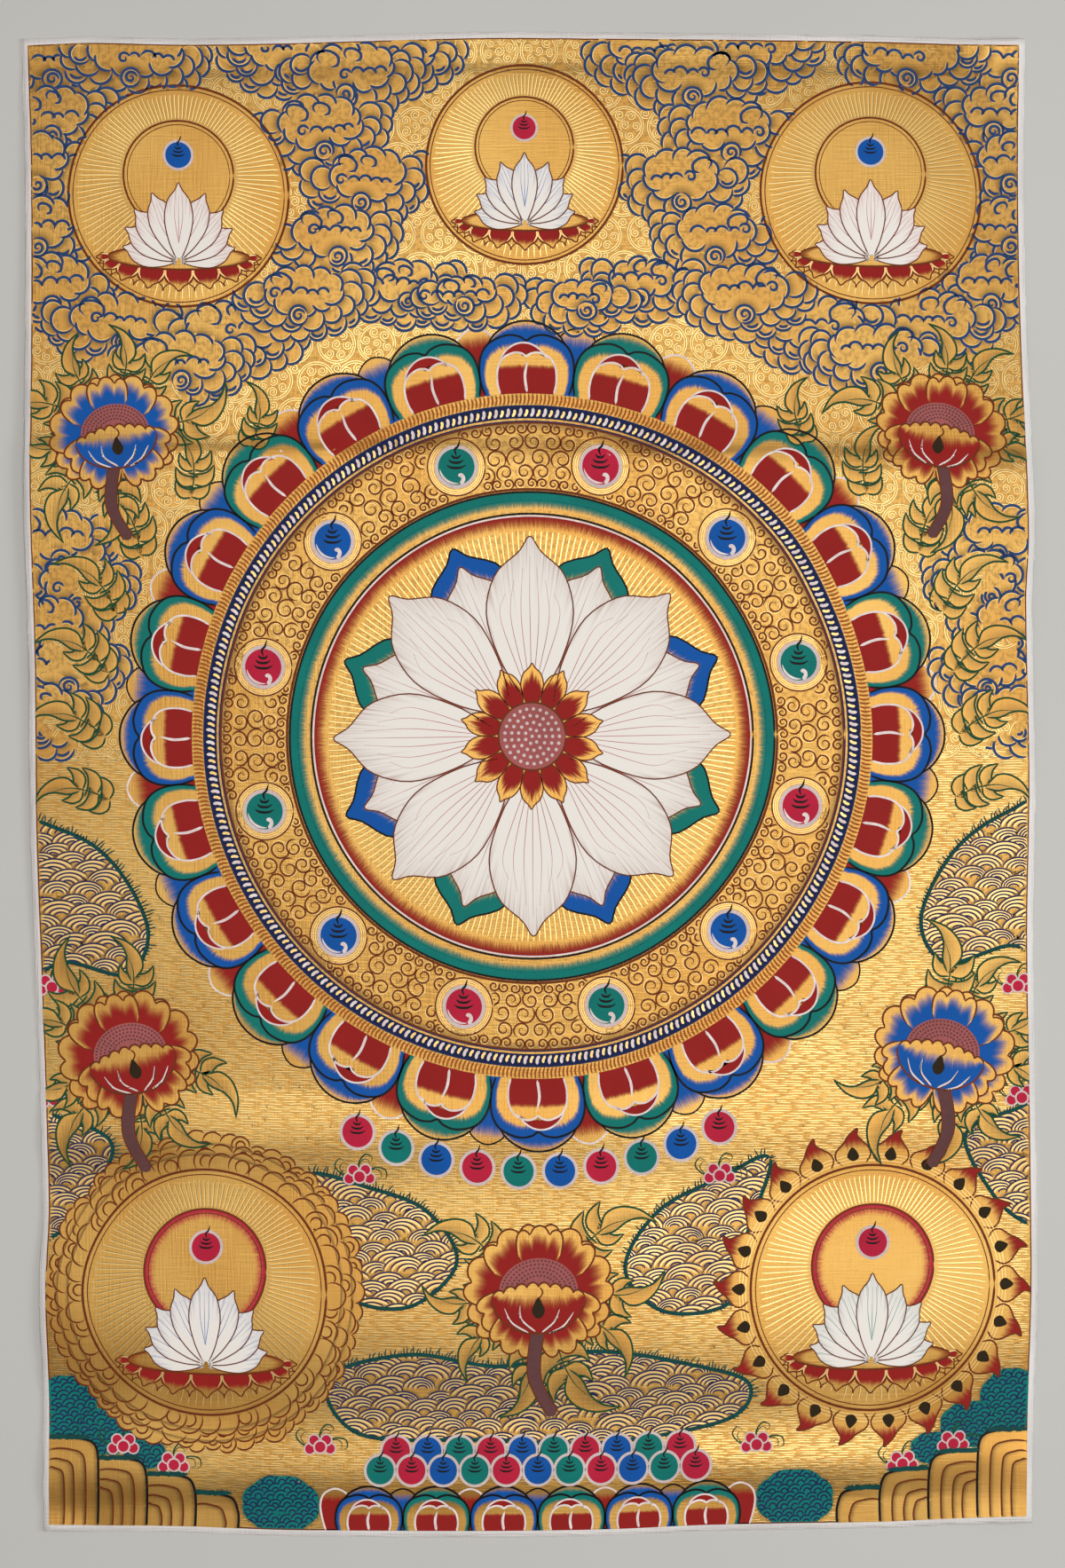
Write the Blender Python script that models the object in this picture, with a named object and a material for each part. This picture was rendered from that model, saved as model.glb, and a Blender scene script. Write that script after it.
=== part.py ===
"""Painted cotton canvas for a hanging scroll, lying flat and face up.

One thin sheet: its hand-cut outline bows a few millimetres between the corners, and the low
ripples that rolling left in it run across the width. Between the ripples it touches the surface.
Metres, +Z up, origin under the middle of the sheet, +Y towards the top of the painting.
"""
import bmesh
import bpy

# Driving sizes
THICKNESS = 0.001         # cotton, primer and paint
BARE_MARGIN = 0.003       # unpainted cotton all round
COLUMNS = 20              # cells across the painted width
SETTLE = 0.0002           # whatever would hover less than this lies on the surface

# Corners of the cut sheet: the foot is 7 mm narrower than the head, and its right side hangs short.
CORNERS = {
    "top left": (-0.2574, 0.3776),
    "top right": (0.2511, 0.3776),
    "bottom left": (-0.2462, -0.3780),
    "bottom right": (0.2547, -0.3735),
}

# How far each edge bows out past the straight line between its corners.
# Columns: share of the edge (left to right, or top to bottom), bow outwards.
TOP_BOW = (
    (0.00, 0.0), (0.07, 0.0013), (0.15, 0.0004), (0.24, 0.0008), (0.34, 0.0022),
    (0.47, 0.0038), (0.58, 0.0034), (0.72, 0.0028), (0.85, 0.0019), (0.94, 0.0005), (1.00, 0.0),
)
BOTTOM_BOW = (
    (0.00, 0.0), (0.05, 0.0007), (0.14, 0.0016), (0.24, 0.0039), (0.33, 0.0047),
    (0.45, 0.0054), (0.57, 0.0051), (0.67, 0.0033), (0.85, 0.0025), (0.93, 0.0010), (1.00, 0.0),
)
LEFT_BOW = (
    (0.00, 0.0), (0.08, -0.0010), (0.20, 0.0), (0.31, 0.0018), (0.41, 0.0006),
    (0.53, 0.0012), (0.62, -0.0002), (0.78, -0.0022), (0.84, 0.0001), (0.91, -0.0009), (1.00, 0.0),
)
RIGHT_BOW = (
    (0.00, 0.0), (0.10, -0.0009), (0.20, 0.0002), (0.33, 0.0036), (0.38, 0.0021),
    (0.50, 0.0034), (0.60, 0.0020), (0.69, 0.0026), (0.83, 0.0034), (0.92, 0.0012), (1.00, 0.0),
)

# The ripples, one row for each section of the sheet from its top edge down.
# Columns: what it is, distance down at the left edge, the same at the right edge,
# height at the left edge, height at the right edge, strips to the next row.
SECTIONS = (
    ("top edge", 0.000, 0.000, 0.0000, 0.0000, 1),
    ("painted edge", 0.003, 0.003, 0.0000, 0.0000, 1),
    ("end of the flat head", 0.014, 0.014, 0.0000, 0.0000, 2),
    ("start of the long rise", 0.040, 0.036, 0.0012, 0.0009, 8),
    ("foot of the first crease", 0.184, 0.190, 0.0031, 0.0024, 3),
    ("first crease", 0.210, 0.218, 0.0048, 0.0042, 3),
    ("below the crease", 0.246, 0.252, 0.0042, 0.0038, 9),
    ("foot of the long fall", 0.494, 0.500, 0.0004, 0.0005, 2),
    ("start of the middle flat", 0.508, 0.514, 0.0000, 0.0000, 2),
    ("end of the middle flat", 0.526, 0.530, 0.0000, 0.0000, 2),
    ("low crest", 0.556, 0.550, 0.0017, 0.0010, 2),
    ("shallow trough", 0.582, 0.588, 0.0005, 0.0003, 4),
    ("second crease", 0.650, 0.657, 0.0026, 0.0022, 3),
    ("low trough", 0.694, 0.702, 0.0006, 0.0005, 2),
    ("last crest", 0.726, 0.722, 0.0021, 0.0014, 2),
    ("start of the flat foot", 0.744, 0.742, 0.0000, 0.0000, 1),
    ("painted edge", 0.7525, 0.7525, 0.0000, 0.0000, 1),
    ("bottom edge", 0.7555, 0.7555, 0.0000, 0.0000, 0),
)

# Corners that curl off the surface. Columns: side, end, height of the tip, reach of the curl.
CORNER_CURLS = (
    ("right", "top", 0.0020, 0.045),
    ("left", "bottom", 0.0014, 0.040),
    ("right", "bottom", 0.0028, 0.055),
)

GOLD_COLOUR = (0.55, 0.35, 0.11, 1.0)
COTTON_COLOUR = (0.72, 0.66, 0.62, 1.0)


def smooth(values, t):
    """Smooth curve through evenly numbered values, read at t from 0 to len(values) - 1."""
    last = len(values) - 1
    k = min(int(t), last - 1)
    f = t - k
    before, start, end, after = (values[min(max(k + d, 0), last)] for d in (-1, 0, 1, 2))
    leave, arrive = (end - before) / 2, (after - start) / 2
    return (start * (1 + 2 * f) * (1 - f) ** 2 + leave * f * (1 - f) ** 2
            + end * f * f * (3 - 2 * f) + arrive * f * f * (f - 1))


def bow_at(table, share):
    """How far an edge bows out at a share of its length."""
    for k in range(len(table) - 1):
        if share <= table[k + 1][0]:
            break
    f = (share - table[k][0]) / (table[k + 1][0] - table[k][0])
    return smooth([row[1] for row in table], k + f)


def mix(a, b, share):
    return a + (b - a) * share


def outline_point(across, down):
    """Place of a point of the sheet, from its shares across the width and down the length."""
    left = [mix(CORNERS["top left"][i], CORNERS["bottom left"][i], down) for i in (0, 1)]
    right = [mix(CORNERS["top right"][i], CORNERS["bottom right"][i], down) for i in (0, 1)]
    x = mix(left[0] - bow_at(LEFT_BOW, down), right[0] + bow_at(RIGHT_BOW, down), across)
    y = mix(left[1], right[1], across)
    return x, y + mix(bow_at(TOP_BOW, across), -bow_at(BOTTOM_BOW, across), down)


def ripple(step, across):
    """Distance down from the top edge and height off the surface, at a step through SECTIONS."""
    down = smooth([mix(row[1], row[2], across) for row in SECTIONS], step)
    height = smooth([mix(row[3], row[4], across) for row in SECTIONS], step)
    return down, height


def corner_curl(across, down, width, length):
    """Height that a curled corner adds at a point, from its shares across and down."""
    lift = 0.0
    for side, end, tip, reach in CORNER_CURLS:
        run_x = (across if side == "left" else 1 - across) * width
        run_y = (down if end == "top" else 1 - down) * length
        share = max(0.0, 1 - (run_x + run_y) / reach)
        lift += tip * share * share * (3 - 2 * share)
    return lift


def shares_across():
    """Shares of the width at which the cells meet: a bare margin, the painted cells, a margin."""
    margin = BARE_MARGIN / (CORNERS["top right"][0] - CORNERS["top left"][0])
    painted = [margin + (1 - 2 * margin) * k / COLUMNS for k in range(COLUMNS + 1)]
    return [0.0] + painted + [1.0]


def steps_down():
    """Steps through SECTIONS at which the cells meet."""
    steps = []
    for k, section in enumerate(SECTIONS):
        strips = section[5]
        steps += [k + s / strips for s in range(strips)]
    return steps + [float(len(SECTIONS) - 1)]


def sheet_points(lift):
    """Rows of points on the underside, raised by lift."""
    width = CORNERS["top right"][0] - CORNERS["top left"][0]
    length = SECTIONS[-1][1]
    rows = []
    for step in steps_down():
        row = []
        for across in shares_across():
            down, height = ripple(step, across)
            share = down / length
            x, y = outline_point(across, share)
            height += corner_curl(across, share, width, length)
            row.append((x, y, max(0.0, height - SETTLE) + lift))
        rows.append(row)
    return rows


def centred(rows, middle_x, middle_y):
    return [[(x - middle_x, y - middle_y, z) for x, y, z in row] for row in rows]


def paint(name, colour, roughness, metallic):
    material = bpy.data.materials.new(name)
    material.use_nodes = True
    shader = material.node_tree.nodes["Principled BSDF"]
    shader.inputs["Base Color"].default_value = colour
    shader.inputs["Roughness"].default_value = roughness
    shader.inputs["Metallic"].default_value = metallic
    return material


def build_canvas():
    """The closed sheet: underside, painted face and the cut edge between them."""
    under = sheet_points(0.0)
    xs = [x for row in under for x, _, _ in row]
    ys = [y for row in under for _, y, _ in row]
    middle = ((min(xs) + max(xs)) / 2, (min(ys) + max(ys)) / 2)
    under = centred(under, *middle)
    upper = centred(sheet_points(THICKNESS), *middle)

    bm = bmesh.new()
    under = [[bm.verts.new(point) for point in row] for row in under]
    upper = [[bm.verts.new(point) for point in row] for row in upper]
    last_row, last_column = len(upper) - 1, len(upper[0]) - 1
    gold, cotton = 0, 1
    for i in range(last_row):
        for j in range(last_column):
            face = bm.faces.new((upper[i][j], upper[i + 1][j], upper[i + 1][j + 1], upper[i][j + 1]))
            at_margin = i in (0, last_row - 1) or j in (0, last_column - 1)
            face.material_index = cotton if at_margin else gold
            back = bm.faces.new((under[i][j], under[i][j + 1], under[i + 1][j + 1], under[i + 1][j]))
            back.material_index = cotton
    rim = [(0, j) for j in range(last_column)] + [(i, last_column) for i in range(last_row)]
    rim += [(last_row, j) for j in range(last_column, 0, -1)] + [(i, 0) for i in range(last_row, 0, -1)]
    for (i, j), (next_i, next_j) in zip(rim, rim[1:] + rim[:1]):
        edge = bm.faces.new((upper[i][j], upper[next_i][next_j], under[next_i][next_j], under[i][j]))
        edge.material_index = cotton
    bmesh.ops.recalc_face_normals(bm, faces=bm.faces)

    mesh = bpy.data.meshes.new("painted_canvas")
    bm.to_mesh(mesh)
    bm.free()
    mesh.materials.append(paint("gold paint", GOLD_COLOUR, 0.42, 0.8))
    mesh.materials.append(paint("primed cotton", COTTON_COLOUR, 0.9, 0.0))
    canvas = bpy.data.objects.new("painted_canvas", mesh)
    bpy.context.collection.objects.link(canvas)
    return canvas


def main():
    for thing in list(bpy.data.objects):
        bpy.data.objects.remove(thing, do_unlink=True)
    build_canvas()


if __name__ == "__main__":
    main()
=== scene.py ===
"""Painted cotton canvas lying flat: gold ground, brush lines, petals, flowers and jewels.

The cloth lies in the shape of its solid. The painting is drawn flat, in millimetres from the
middle of the sheet, as thin films of paint that are then laid on the rippled cloth. It is a
generic lotus wheel among clouds, flowers and water, in the manner of such gold-ground canvases.
"""
import math

import bpy
import numpy as np
from bpy.props import FloatProperty, FloatVectorProperty, IntProperty, PointerProperty
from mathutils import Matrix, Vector


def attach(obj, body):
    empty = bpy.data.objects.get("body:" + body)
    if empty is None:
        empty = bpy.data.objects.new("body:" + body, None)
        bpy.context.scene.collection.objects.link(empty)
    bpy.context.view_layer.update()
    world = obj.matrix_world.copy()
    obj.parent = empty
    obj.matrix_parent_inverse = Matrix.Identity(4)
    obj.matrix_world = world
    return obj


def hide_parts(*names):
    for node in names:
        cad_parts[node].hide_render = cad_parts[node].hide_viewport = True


bl_info = {
    "name": "Painted Canvas",
    "version": (1, 0, 0),
    "blender": (4, 5, 0),
    "location": "3D View > Sidebar > Painted Canvas",
    "description": "Builds a gold-ground painted cotton canvas, piece by piece",
    "category": "Object",
}

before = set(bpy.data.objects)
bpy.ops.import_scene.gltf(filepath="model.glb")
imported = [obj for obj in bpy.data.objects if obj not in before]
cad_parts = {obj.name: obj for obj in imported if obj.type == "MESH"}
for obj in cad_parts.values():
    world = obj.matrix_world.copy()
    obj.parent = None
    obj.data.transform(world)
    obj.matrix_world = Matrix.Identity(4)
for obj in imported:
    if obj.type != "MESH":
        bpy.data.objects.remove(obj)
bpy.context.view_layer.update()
CLOTH_NODE = "painted_canvas"

MM = 0.001
SHEET_WIDTH = 508       # mm, as cut
SHEET_LENGTH = 755.5      # mm, head to foot
HALF_WIDTH = SHEET_WIDTH / 2
HALF_LENGTH = SHEET_LENGTH / 2

# ---- the cloth, as in its solid

# Corners at the head and at the foot of each edge, in mm.
LEFT_EDGE, RIGHT_EDGE = ((-257.4, 377.6), (-246.2, -378)), ((251.1, 377.6), (254.7, -373.5))
# Columns: share of the edge (left to right, or top to bottom), bow outwards in mm.
TOP_BOW = (
    (0, 0), (0.07, 1.3), (0.15, 0.4), (0.24, 0.8), (0.34, 2.2), (0.47, 3.8),
    (0.58, 3.4), (0.72, 2.8), (0.85, 1.9), (0.94, 0.5), (1, 0),
)
BOTTOM_BOW = (
    (0, 0), (0.05, 0.7), (0.14, 1.6), (0.24, 3.9), (0.33, 4.7), (0.45, 5.4),
    (0.57, 5.1), (0.67, 3.3), (0.85, 2.5), (0.93, 1), (1, 0),
)
LEFT_BOW = (
    (0, 0), (0.08, -1), (0.2, 0), (0.31, 1.8), (0.41, 0.6), (0.53, 1.2),
    (0.62, -0.2), (0.78, -2.2), (0.84, 0.1), (0.91, -0.9), (1, 0),
)
RIGHT_BOW = (
    (0, 0), (0.1, -0.9), (0.2, 0.2), (0.33, 3.6), (0.38, 2.1), (0.5, 3.4),
    (0.6, 2), (0.69, 2.6), (0.83, 3.4), (0.92, 1.2), (1, 0),
)
# One row for each section of the sheet. Columns: distance down at the left edge, the same at the
# right edge, height at the left edge, height at the right edge, in mm.
SECTIONS = (
    (0, 0, 0, 0), (3, 3, 0, 0), (14, 14, 0, 0), (40, 36, 1.2, 0.9),
    (184, 190, 3.1, 2.4), (210, 218, 4.8, 4.2), (246, 252, 4.2, 3.8),
    (494, 500, 0.4, 0.5), (508, 514, 0, 0), (526, 530, 0, 0),
    (556, 550, 1.7, 1), (582, 588, 0.5, 0.3), (650, 657, 2.6, 2.2),
    (694, 702, 0.6, 0.5), (726, 722, 2.1, 1.4), (744, 742, 0, 0),
    (752.5, 752.5, 0, 0), (755.5, 755.5, 0, 0),
)
# Columns: side (1 is right), end (1 is the foot), height of the tip, reach, in mm.
CORNER_CURLS = ((1, 0, 2, 45), (0, 1, 1.4, 40), (1, 1, 2.8, 55))
SETTLE = 0.2              # mm that the cloth sinks back onto the surface
CLOTH_THICKNESS = 1     # mm


def smooth(values, t):
    """Smooth curve through evenly numbered values, read at t."""
    values = np.asarray(values, float)
    last = len(values) - 1
    k = np.clip(t.astype(int), 0, last - 1)
    f = t - k
    before, start, end, after = (values[np.clip(k + d, 0, last)] for d in (-1, 0, 1, 2))
    leave, arrive = (end - before) / 2, (after - start) / 2
    return (start * (1 + 2 * f) * (1 - f) ** 2 + leave * f * (1 - f) ** 2
            + end * f * f * (3 - 2 * f) + arrive * f * f * (f - 1))


def bow_at(table, share):
    shares = [row[0] for row in table]
    return smooth([row[1] for row in table], np.interp(share, shares, np.arange(len(shares))))


class Cloth:
    """The sheet's shape: where a flat drawing lands on it."""

    GRID = (129, 193)     # samples of height across and down
    STEPS = 24            # samples between two sections

    def __init__(self):
        across = np.linspace(0, 1, self.GRID[0])
        down = np.linspace(0, SHEET_LENGTH, self.GRID[1])
        steps = np.linspace(0, len(SECTIONS) - 1, self.STEPS * len(SECTIONS))
        table = np.array(SECTIONS)
        self.heights = np.zeros(self.GRID[::-1])
        for j, share in enumerate(across):
            place = smooth(table[:, 0] + (table[:, 1] - table[:, 0]) * share, steps)
            height = smooth(table[:, 2] + (table[:, 3] - table[:, 2]) * share, steps)
            self.heights[:, j] = np.interp(down, place, height)
        grid_x, grid_y = np.meshgrid(across, down / SHEET_LENGTH)
        for side, end, tip, reach in CORNER_CURLS:
            run = np.abs(grid_x - side) * SHEET_WIDTH + np.abs(grid_y - end) * SHEET_LENGTH
            near = np.clip(1 - run / reach, 0, 1)
            self.heights += tip * near * near * (3 - 2 * near)
        self.heights = np.maximum(0, self.heights - SETTLE)
        run = np.linspace(0, 1, 400)
        edge = np.concatenate([self.outline(*ways) for side in (run * 0, run * 0 + 1)
                               for ways in ((run, side), (side, run))])
        self.middle = (edge.min(0) + edge.max(0)) / 2

    def outline(self, across, down):
        """Places in mm of shares across and down the sheet."""
        left, right = (np.array([top[i] + (foot[i] - top[i]) * down for i in (0, 1)])
                       for top, foot in (LEFT_EDGE, RIGHT_EDGE))
        left[0] -= bow_at(LEFT_BOW, down)
        right[0] += bow_at(RIGHT_BOW, down)
        place = left + (right - left) * across
        place[1] += (1 - down) * bow_at(TOP_BOW, across) - down * bow_at(BOTTOM_BOW, across)
        return place.T

    def height(self, across, down):
        columns, rows = self.GRID
        x, y = np.clip(across, 0, 1) * (columns - 1), np.clip(down, 0, 1) * (rows - 1)
        j, i = np.minimum(x.astype(int), columns - 2), np.minimum(y.astype(int), rows - 2)
        fx, fy = x - j, y - i
        grid = self.heights
        return ((grid[i, j] * (1 - fx) + grid[i, j + 1] * fx) * (1 - fy)
                + (grid[i + 1, j] * (1 - fx) + grid[i + 1, j + 1] * fx) * fy)

    def place(self, flat, lift):
        """Places in metres of flat points raised by lift, both in mm."""
        across = 0.5 + flat[:, 0] / SHEET_WIDTH
        down = 0.5 - flat[:, 1] / SHEET_LENGTH
        xy = self.outline(across, down) - self.middle
        z = self.height(across, down) + lift
        return np.column_stack([xy, z]) * MM


CLOTH = Cloth()

# ---- flat shapes, in mm


def arc(centre, radius, start, end, count):
    """Points of an arc between two directions in degrees."""
    angles = np.radians(np.linspace(start, end, count))
    return np.column_stack([centre[0] + radius * np.cos(angles), centre[1] + radius * np.sin(angles)])


def circle(centre, radius, count):
    """A whole turn, whose last point is the first."""
    return arc(centre, radius, 0, 360, count)


def polar(centre, radius, degrees):
    """One point of a circle."""
    return arc(centre, radius, degrees, 0, 1)[0]


def spiral(centre, outer, inner, start, turns, count):
    shares = np.linspace(0, 1, count)
    angles = math.radians(start) + shares * turns * math.tau
    radii = outer + (inner - outer) * shares ** 0.85
    return np.column_stack([centre[0] + radii * np.cos(angles), centre[1] + radii * np.sin(angles)])


def curve(points, count):
    """Smooth curve through a few points."""
    points = np.asarray(points, float)
    t = np.linspace(0, len(points) - 1, count)
    return np.column_stack([smooth(points[:, 0], t), smooth(points[:, 1], t)])


def turned(path, degrees, to=(0, 0), size=1):
    """A shape turned about its own origin, scaled and moved."""
    angle = math.radians(degrees)
    spin = np.array([[math.cos(angle), math.sin(angle)], [-math.sin(angle), math.cos(angle)]])
    return np.asarray(path) * size @ spin + np.asarray(to)


def around(centre, degrees, radius):
    """Maps petals onto a ring: x runs along it and y outwards."""
    def bend(path):
        path = np.asarray(path, float)
        angles = math.radians(degrees) - path[..., 0] / radius
        reach = radius + path[..., 1]
        return np.stack([centre[0] + reach * np.cos(angles), centre[1] + reach * np.sin(angles)], -1)
    return bend


def run_along(paths):
    """Distance along each path, at each of its points."""
    steps = np.diff(paths, axis=-2)
    run = np.cumsum(np.hypot(steps[..., 0], steps[..., 1]), -1)
    return np.concatenate([np.zeros(run.shape[:-1] + (1,)), run], -1)


def resampled(path, count):
    """The same path with evenly spaced points."""
    run = run_along(path)
    at = np.linspace(0, run[-1], count)
    return np.column_stack([np.interp(at, run, path[:, 0]), np.interp(at, run, path[:, 1])])


def raised(spots, lift):
    """Flat points with a lift as their third number."""
    return np.concatenate([spots, np.full(spots.shape[:-1] + (1,), lift)], -1)


def rows_between(one, other, cells):
    """Points from one line to another, and their shares of the way."""
    shares = np.linspace(0, 1, cells + 1)[None, :, None]
    return one[:, None] * (1 - shares) + other[:, None] * shares, shares[..., 0]


def brushed(across, along):
    """Brush coordinates of a patch from those across and along it."""
    return np.stack(np.broadcast_arrays(across, along), -1)


def cells_of(index):
    """The four corners of every cell of a grid of indices."""
    return np.stack([index[..., :-1, :-1], index[..., 1:, :-1], index[..., 1:, 1:],
                     index[..., :-1, 1:]], -1)


def shown_runs(path, shown, least=3):
    """The stretches of a path whose points are shown."""
    marks = np.flatnonzero(np.diff(np.concatenate([[0], shown.astype(int), [0]])))
    return [path[a:b] for a, b in marks.reshape(-1, 2) if b - a >= least]


def away(points, spot):
    """Distances of points from a spot."""
    return np.hypot(*(np.asarray(points, float)[:, :2] - spot).T)


def clear_of(points, discs, margin=0):
    """Which points lie outside all of the discs (x, y, radius)."""
    clear = np.ones(len(points), bool)
    for x, y, radius, *_ in discs:
        clear &= away(points, (x, y)) > radius + margin
    return clear


def painted_half():
    """Half the width and length of the painted rectangle."""
    return np.array([HALF_WIDTH, HALF_LENGTH]) - settings().cloth.bare_margin / MM


def on_painting(points, inset=0.6):
    """Which points lie within the painted rectangle."""
    return np.all(np.abs(points) < painted_half() - inset, axis=-1)


def signed_area(spots):
    """Areas of flat faces, negative if they run clockwise."""
    after = np.roll(spots, -1, axis=1)
    return (spots[..., 0] * after[..., 1] - spots[..., 1] * after[..., 0]).sum(1) / 2


EVEN = {"start": 0.02, "end": 0.02}          # ends of a line of even width
SOFT = {"start": 0.1, "end": 0.1}            # ends that taper a little
CLOSED = {"start": 0.001, "end": 0.001}      # ends of a line that meets itself
SMALLEST_FACE = 1e-4                         # square mm


class Film:
    """A film of one paint: flat faces in mm, then laid on the cloth as one piece."""

    def __init__(self, name, finish, level):
        self.name, self.finish, self.level = name, finish, level
        self.points, self.brush, self.count = [], [], 0
        self.quads, self.triangles = [np.zeros((0, 4), int)], [np.zeros((0, 3), int)]

    def _keep(self, points, brush, quads, triangles=None):
        points = np.asarray(points, float).reshape(-1, np.shape(points)[-1])
        if points.shape[1] == 2:
            points = np.column_stack([points, np.zeros(len(points))])
        self.points.append(points)
        self.brush.append(np.asarray(brush, float).reshape(-1, 2))
        self.quads.append(quads + self.count)
        if triangles is not None:
            self.triangles.append(triangles + self.count)
        self.count += len(points)

    def grid(self, rows, brush, keep=None):
        """A patch of (n, m) points. keep says which of its cells are painted."""
        n, m = rows.shape[:2]
        cells = cells_of(np.arange(n * m).reshape(n, m))
        cells = cells.reshape(-1, 4) if keep is None else cells[keep]
        if len(cells):
            used, cells = np.unique(cells, return_inverse=True)
            self._keep(rows.reshape(n * m, -1)[used], brush.reshape(-1, 2)[used], cells.reshape(-1, 4))

    def star(self, outline, hub, rings=4, lift=0):
        """Fills a closed outline round a hub. Brush x is 0 at the hub, 1 outside."""
        outline, hub = np.asarray(outline, float), np.asarray(hub, float)
        n = len(outline)
        shares = np.linspace(0, 1, rings + 1)[1:]
        points = np.concatenate([[hub]] + [hub + (outline - hub) * s for s in shares])
        run = run_along(outline)
        brush = np.concatenate([[[0, run.mean()]]] + [brushed(s, run) for s in shares])
        ring = np.arange(n)
        after = np.roll(ring, -1)
        fan = np.column_stack([np.zeros(n, int), 1 + ring, 1 + after])
        inner = 1 + np.arange(rings - 1)[:, None] * n
        quads = np.stack([inner + ring, inner + n + ring, inner + n + after, inner + after], -1)
        self._keep(raised(points, lift), brush, quads.reshape(-1, 4), fan)

    def disc(self, centre, radius, corners, rings=1, lift=0):
        """A filled circle."""
        self.star(circle(centre, radius, corners + 1)[:-1], centre, rings, lift)

    def between(self, one, other, cells=4, lift=0):
        """Fills the strip between two lines. Brush x is 0 on the first, 1 on the other."""
        rows, shares = rows_between(one, other, cells)
        self.grid(raised(rows, lift), brushed(shares, run_along(one)[:, None]))

    def band(self, centre, inner, outer, count, cells, lift=0):
        """A filled ring from one radius to the other."""
        self.between(circle(centre, inner, count), circle(centre, outer, count), cells, lift)

    def upright(self, outline, bend, cells=4, lift=0):
        """Fills a petal whose outline runs from root to tip and back. Brush x is 0 at its root."""
        half = (len(outline) + 1) // 2
        rows, _ = rows_between(outline[:half], outline[::-1][:half], cells)
        brush = np.stack([rows[..., 1] / rows[..., 1].max(), rows[..., 0]], -1)
        self.grid(raised(bend(rows.reshape(-1, 2)).reshape(rows.shape), lift), brush)

    def strokes(self, paths, width, start=0.25, end=0.35, least=0.12, lift=0):
        """Brush strokes along paths of (strokes, points, 2), thin at both ends.

        width is the full width in mm. start and end are the shares of a stroke that taper.
        """
        paths = np.asarray(paths, float)
        if not len(paths):
            return
        count, n = paths.shape[:2]
        run = run_along(paths)
        share = run / run[:, -1:]
        swell = np.minimum(1, share / start) * np.minimum(1, (1 - share) / end)
        half = np.maximum(width * swell ** 0.6 / 2, least / 2)[..., None]
        along = np.gradient(paths, axis=1)
        along /= np.maximum(np.linalg.norm(along, axis=-1, keepdims=True), 1e-9)
        out = np.stack([-along[..., 1], along[..., 0]], -1) * half
        rows = np.stack([paths - out, paths + out], 2)
        index = np.arange(count * n * 2).reshape(count, n, 2)
        self._keep(raised(rows, lift), brushed(np.array([0, 1]), run[..., None]),
                   cells_of(index).reshape(-1, 4))

    def stroke(self, path, width, **how):
        self.strokes(np.asarray(path)[None], width, **how)

    def ring(self, centre, radius, width, count=121, **how):
        """A line of even width all round a circle."""
        self.stroke(circle(centre, radius, count), width, **CLOSED, **how)

    def cut_strokes(self, paths, masks, width, count=9, shortest=3, **how):
        """Strokes along the shown stretches of each path."""
        runs = []
        for path, shown in zip(paths, masks):
            runs += [resampled(run, count) for run in shown_runs(path, shown & on_painting(path), shortest)]
        self.strokes(runs, width, **how)

    def lay(self, bounded=True):
        """Lays the film on the cloth as a piece. bounded keeps it off the bare margin."""
        flat = np.concatenate(self.points)
        if bounded:
            flat[:, :2] = np.clip(flat[:, :2], -painted_half(), painted_half())
        quads, triangles = np.concatenate(self.quads), np.concatenate(self.triangles)
        first, second = (signed_area(flat[quads[:, half], :2]) for half in ((0, 1, 2), (0, 2, 3)))
        twisted = first * second <= 0
        split = quads[twisted]
        triangles = np.concatenate([triangles, split[:, (0, 1, 2)], split[:, (0, 2, 3)]])
        faces = []
        for corners in (quads[~twisted], triangles):
            area = signed_area(flat[corners, :2])
            flipped = np.where((area < 0)[:, None], corners[:, ::-1], corners)
            faces.append(flipped[np.abs(area) > SMALLEST_FACE])
        places = CLOTH.place(flat[:, :2], CLOTH_THICKNESS + self.level + flat[:, 2])
        piece = mesh_piece(self.name, places, *faces)
        low, high = flat[:, :2].min(0), flat[:, :2].max(0)
        add_map(piece, "OFBake", (flat[:, :2] - low) / (high - low) * 0.98 + 0.01)
        add_map(piece, "brush", np.concatenate(self.brush))
        piece.data.uv_layers.active_index = 0
        piece.data.materials.append(self.finish)
        FILMS.append(piece)
        return piece

FILMS = []


def mesh_piece(name, places, quads, triangles):
    """A smooth-shaded piece from places in metres and corners of faces."""
    mesh = bpy.data.meshes.new(name)
    mesh.vertices.add(len(places))
    mesh.vertices.foreach_set("co", places.astype(np.float32).ravel())
    mesh.loops.add(quads.size + triangles.size)
    corners = np.concatenate([quads.ravel(), triangles.ravel()])
    mesh.loops.foreach_set("vertex_index", corners.astype(np.int32))
    mesh.polygons.add(len(quads) + len(triangles))
    starts = np.concatenate([np.arange(len(quads)) * 4, quads.size + np.arange(len(triangles)) * 3])
    mesh.polygons.foreach_set("loop_start", starts.astype(np.int32))
    mesh.update(calc_edges=True)
    mesh.polygons.foreach_set("use_smooth", np.ones(len(mesh.polygons), bool))
    mesh.validate()
    piece = bpy.data.objects.new(name, mesh)
    bpy.context.collection.objects.link(piece)
    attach(piece, "root")
    return piece


def add_map(piece, name, spots):
    """A UV map with one spot for each vertex."""
    loops = np.empty(len(piece.data.loops), np.int32)
    piece.data.loops.foreach_get("vertex_index", loops)
    layer = piece.data.uv_layers.new(name=name)
    layer.uv.foreach_set("vector", spots[loops].astype(np.float32).ravel())


# ---- settings a user would change

def length(name, description, millimetres):
    return FloatProperty(name=name, description=description, default=millimetres * MM,
                         min=0.0, unit="LENGTH", subtype="DISTANCE", precision=5)


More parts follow.
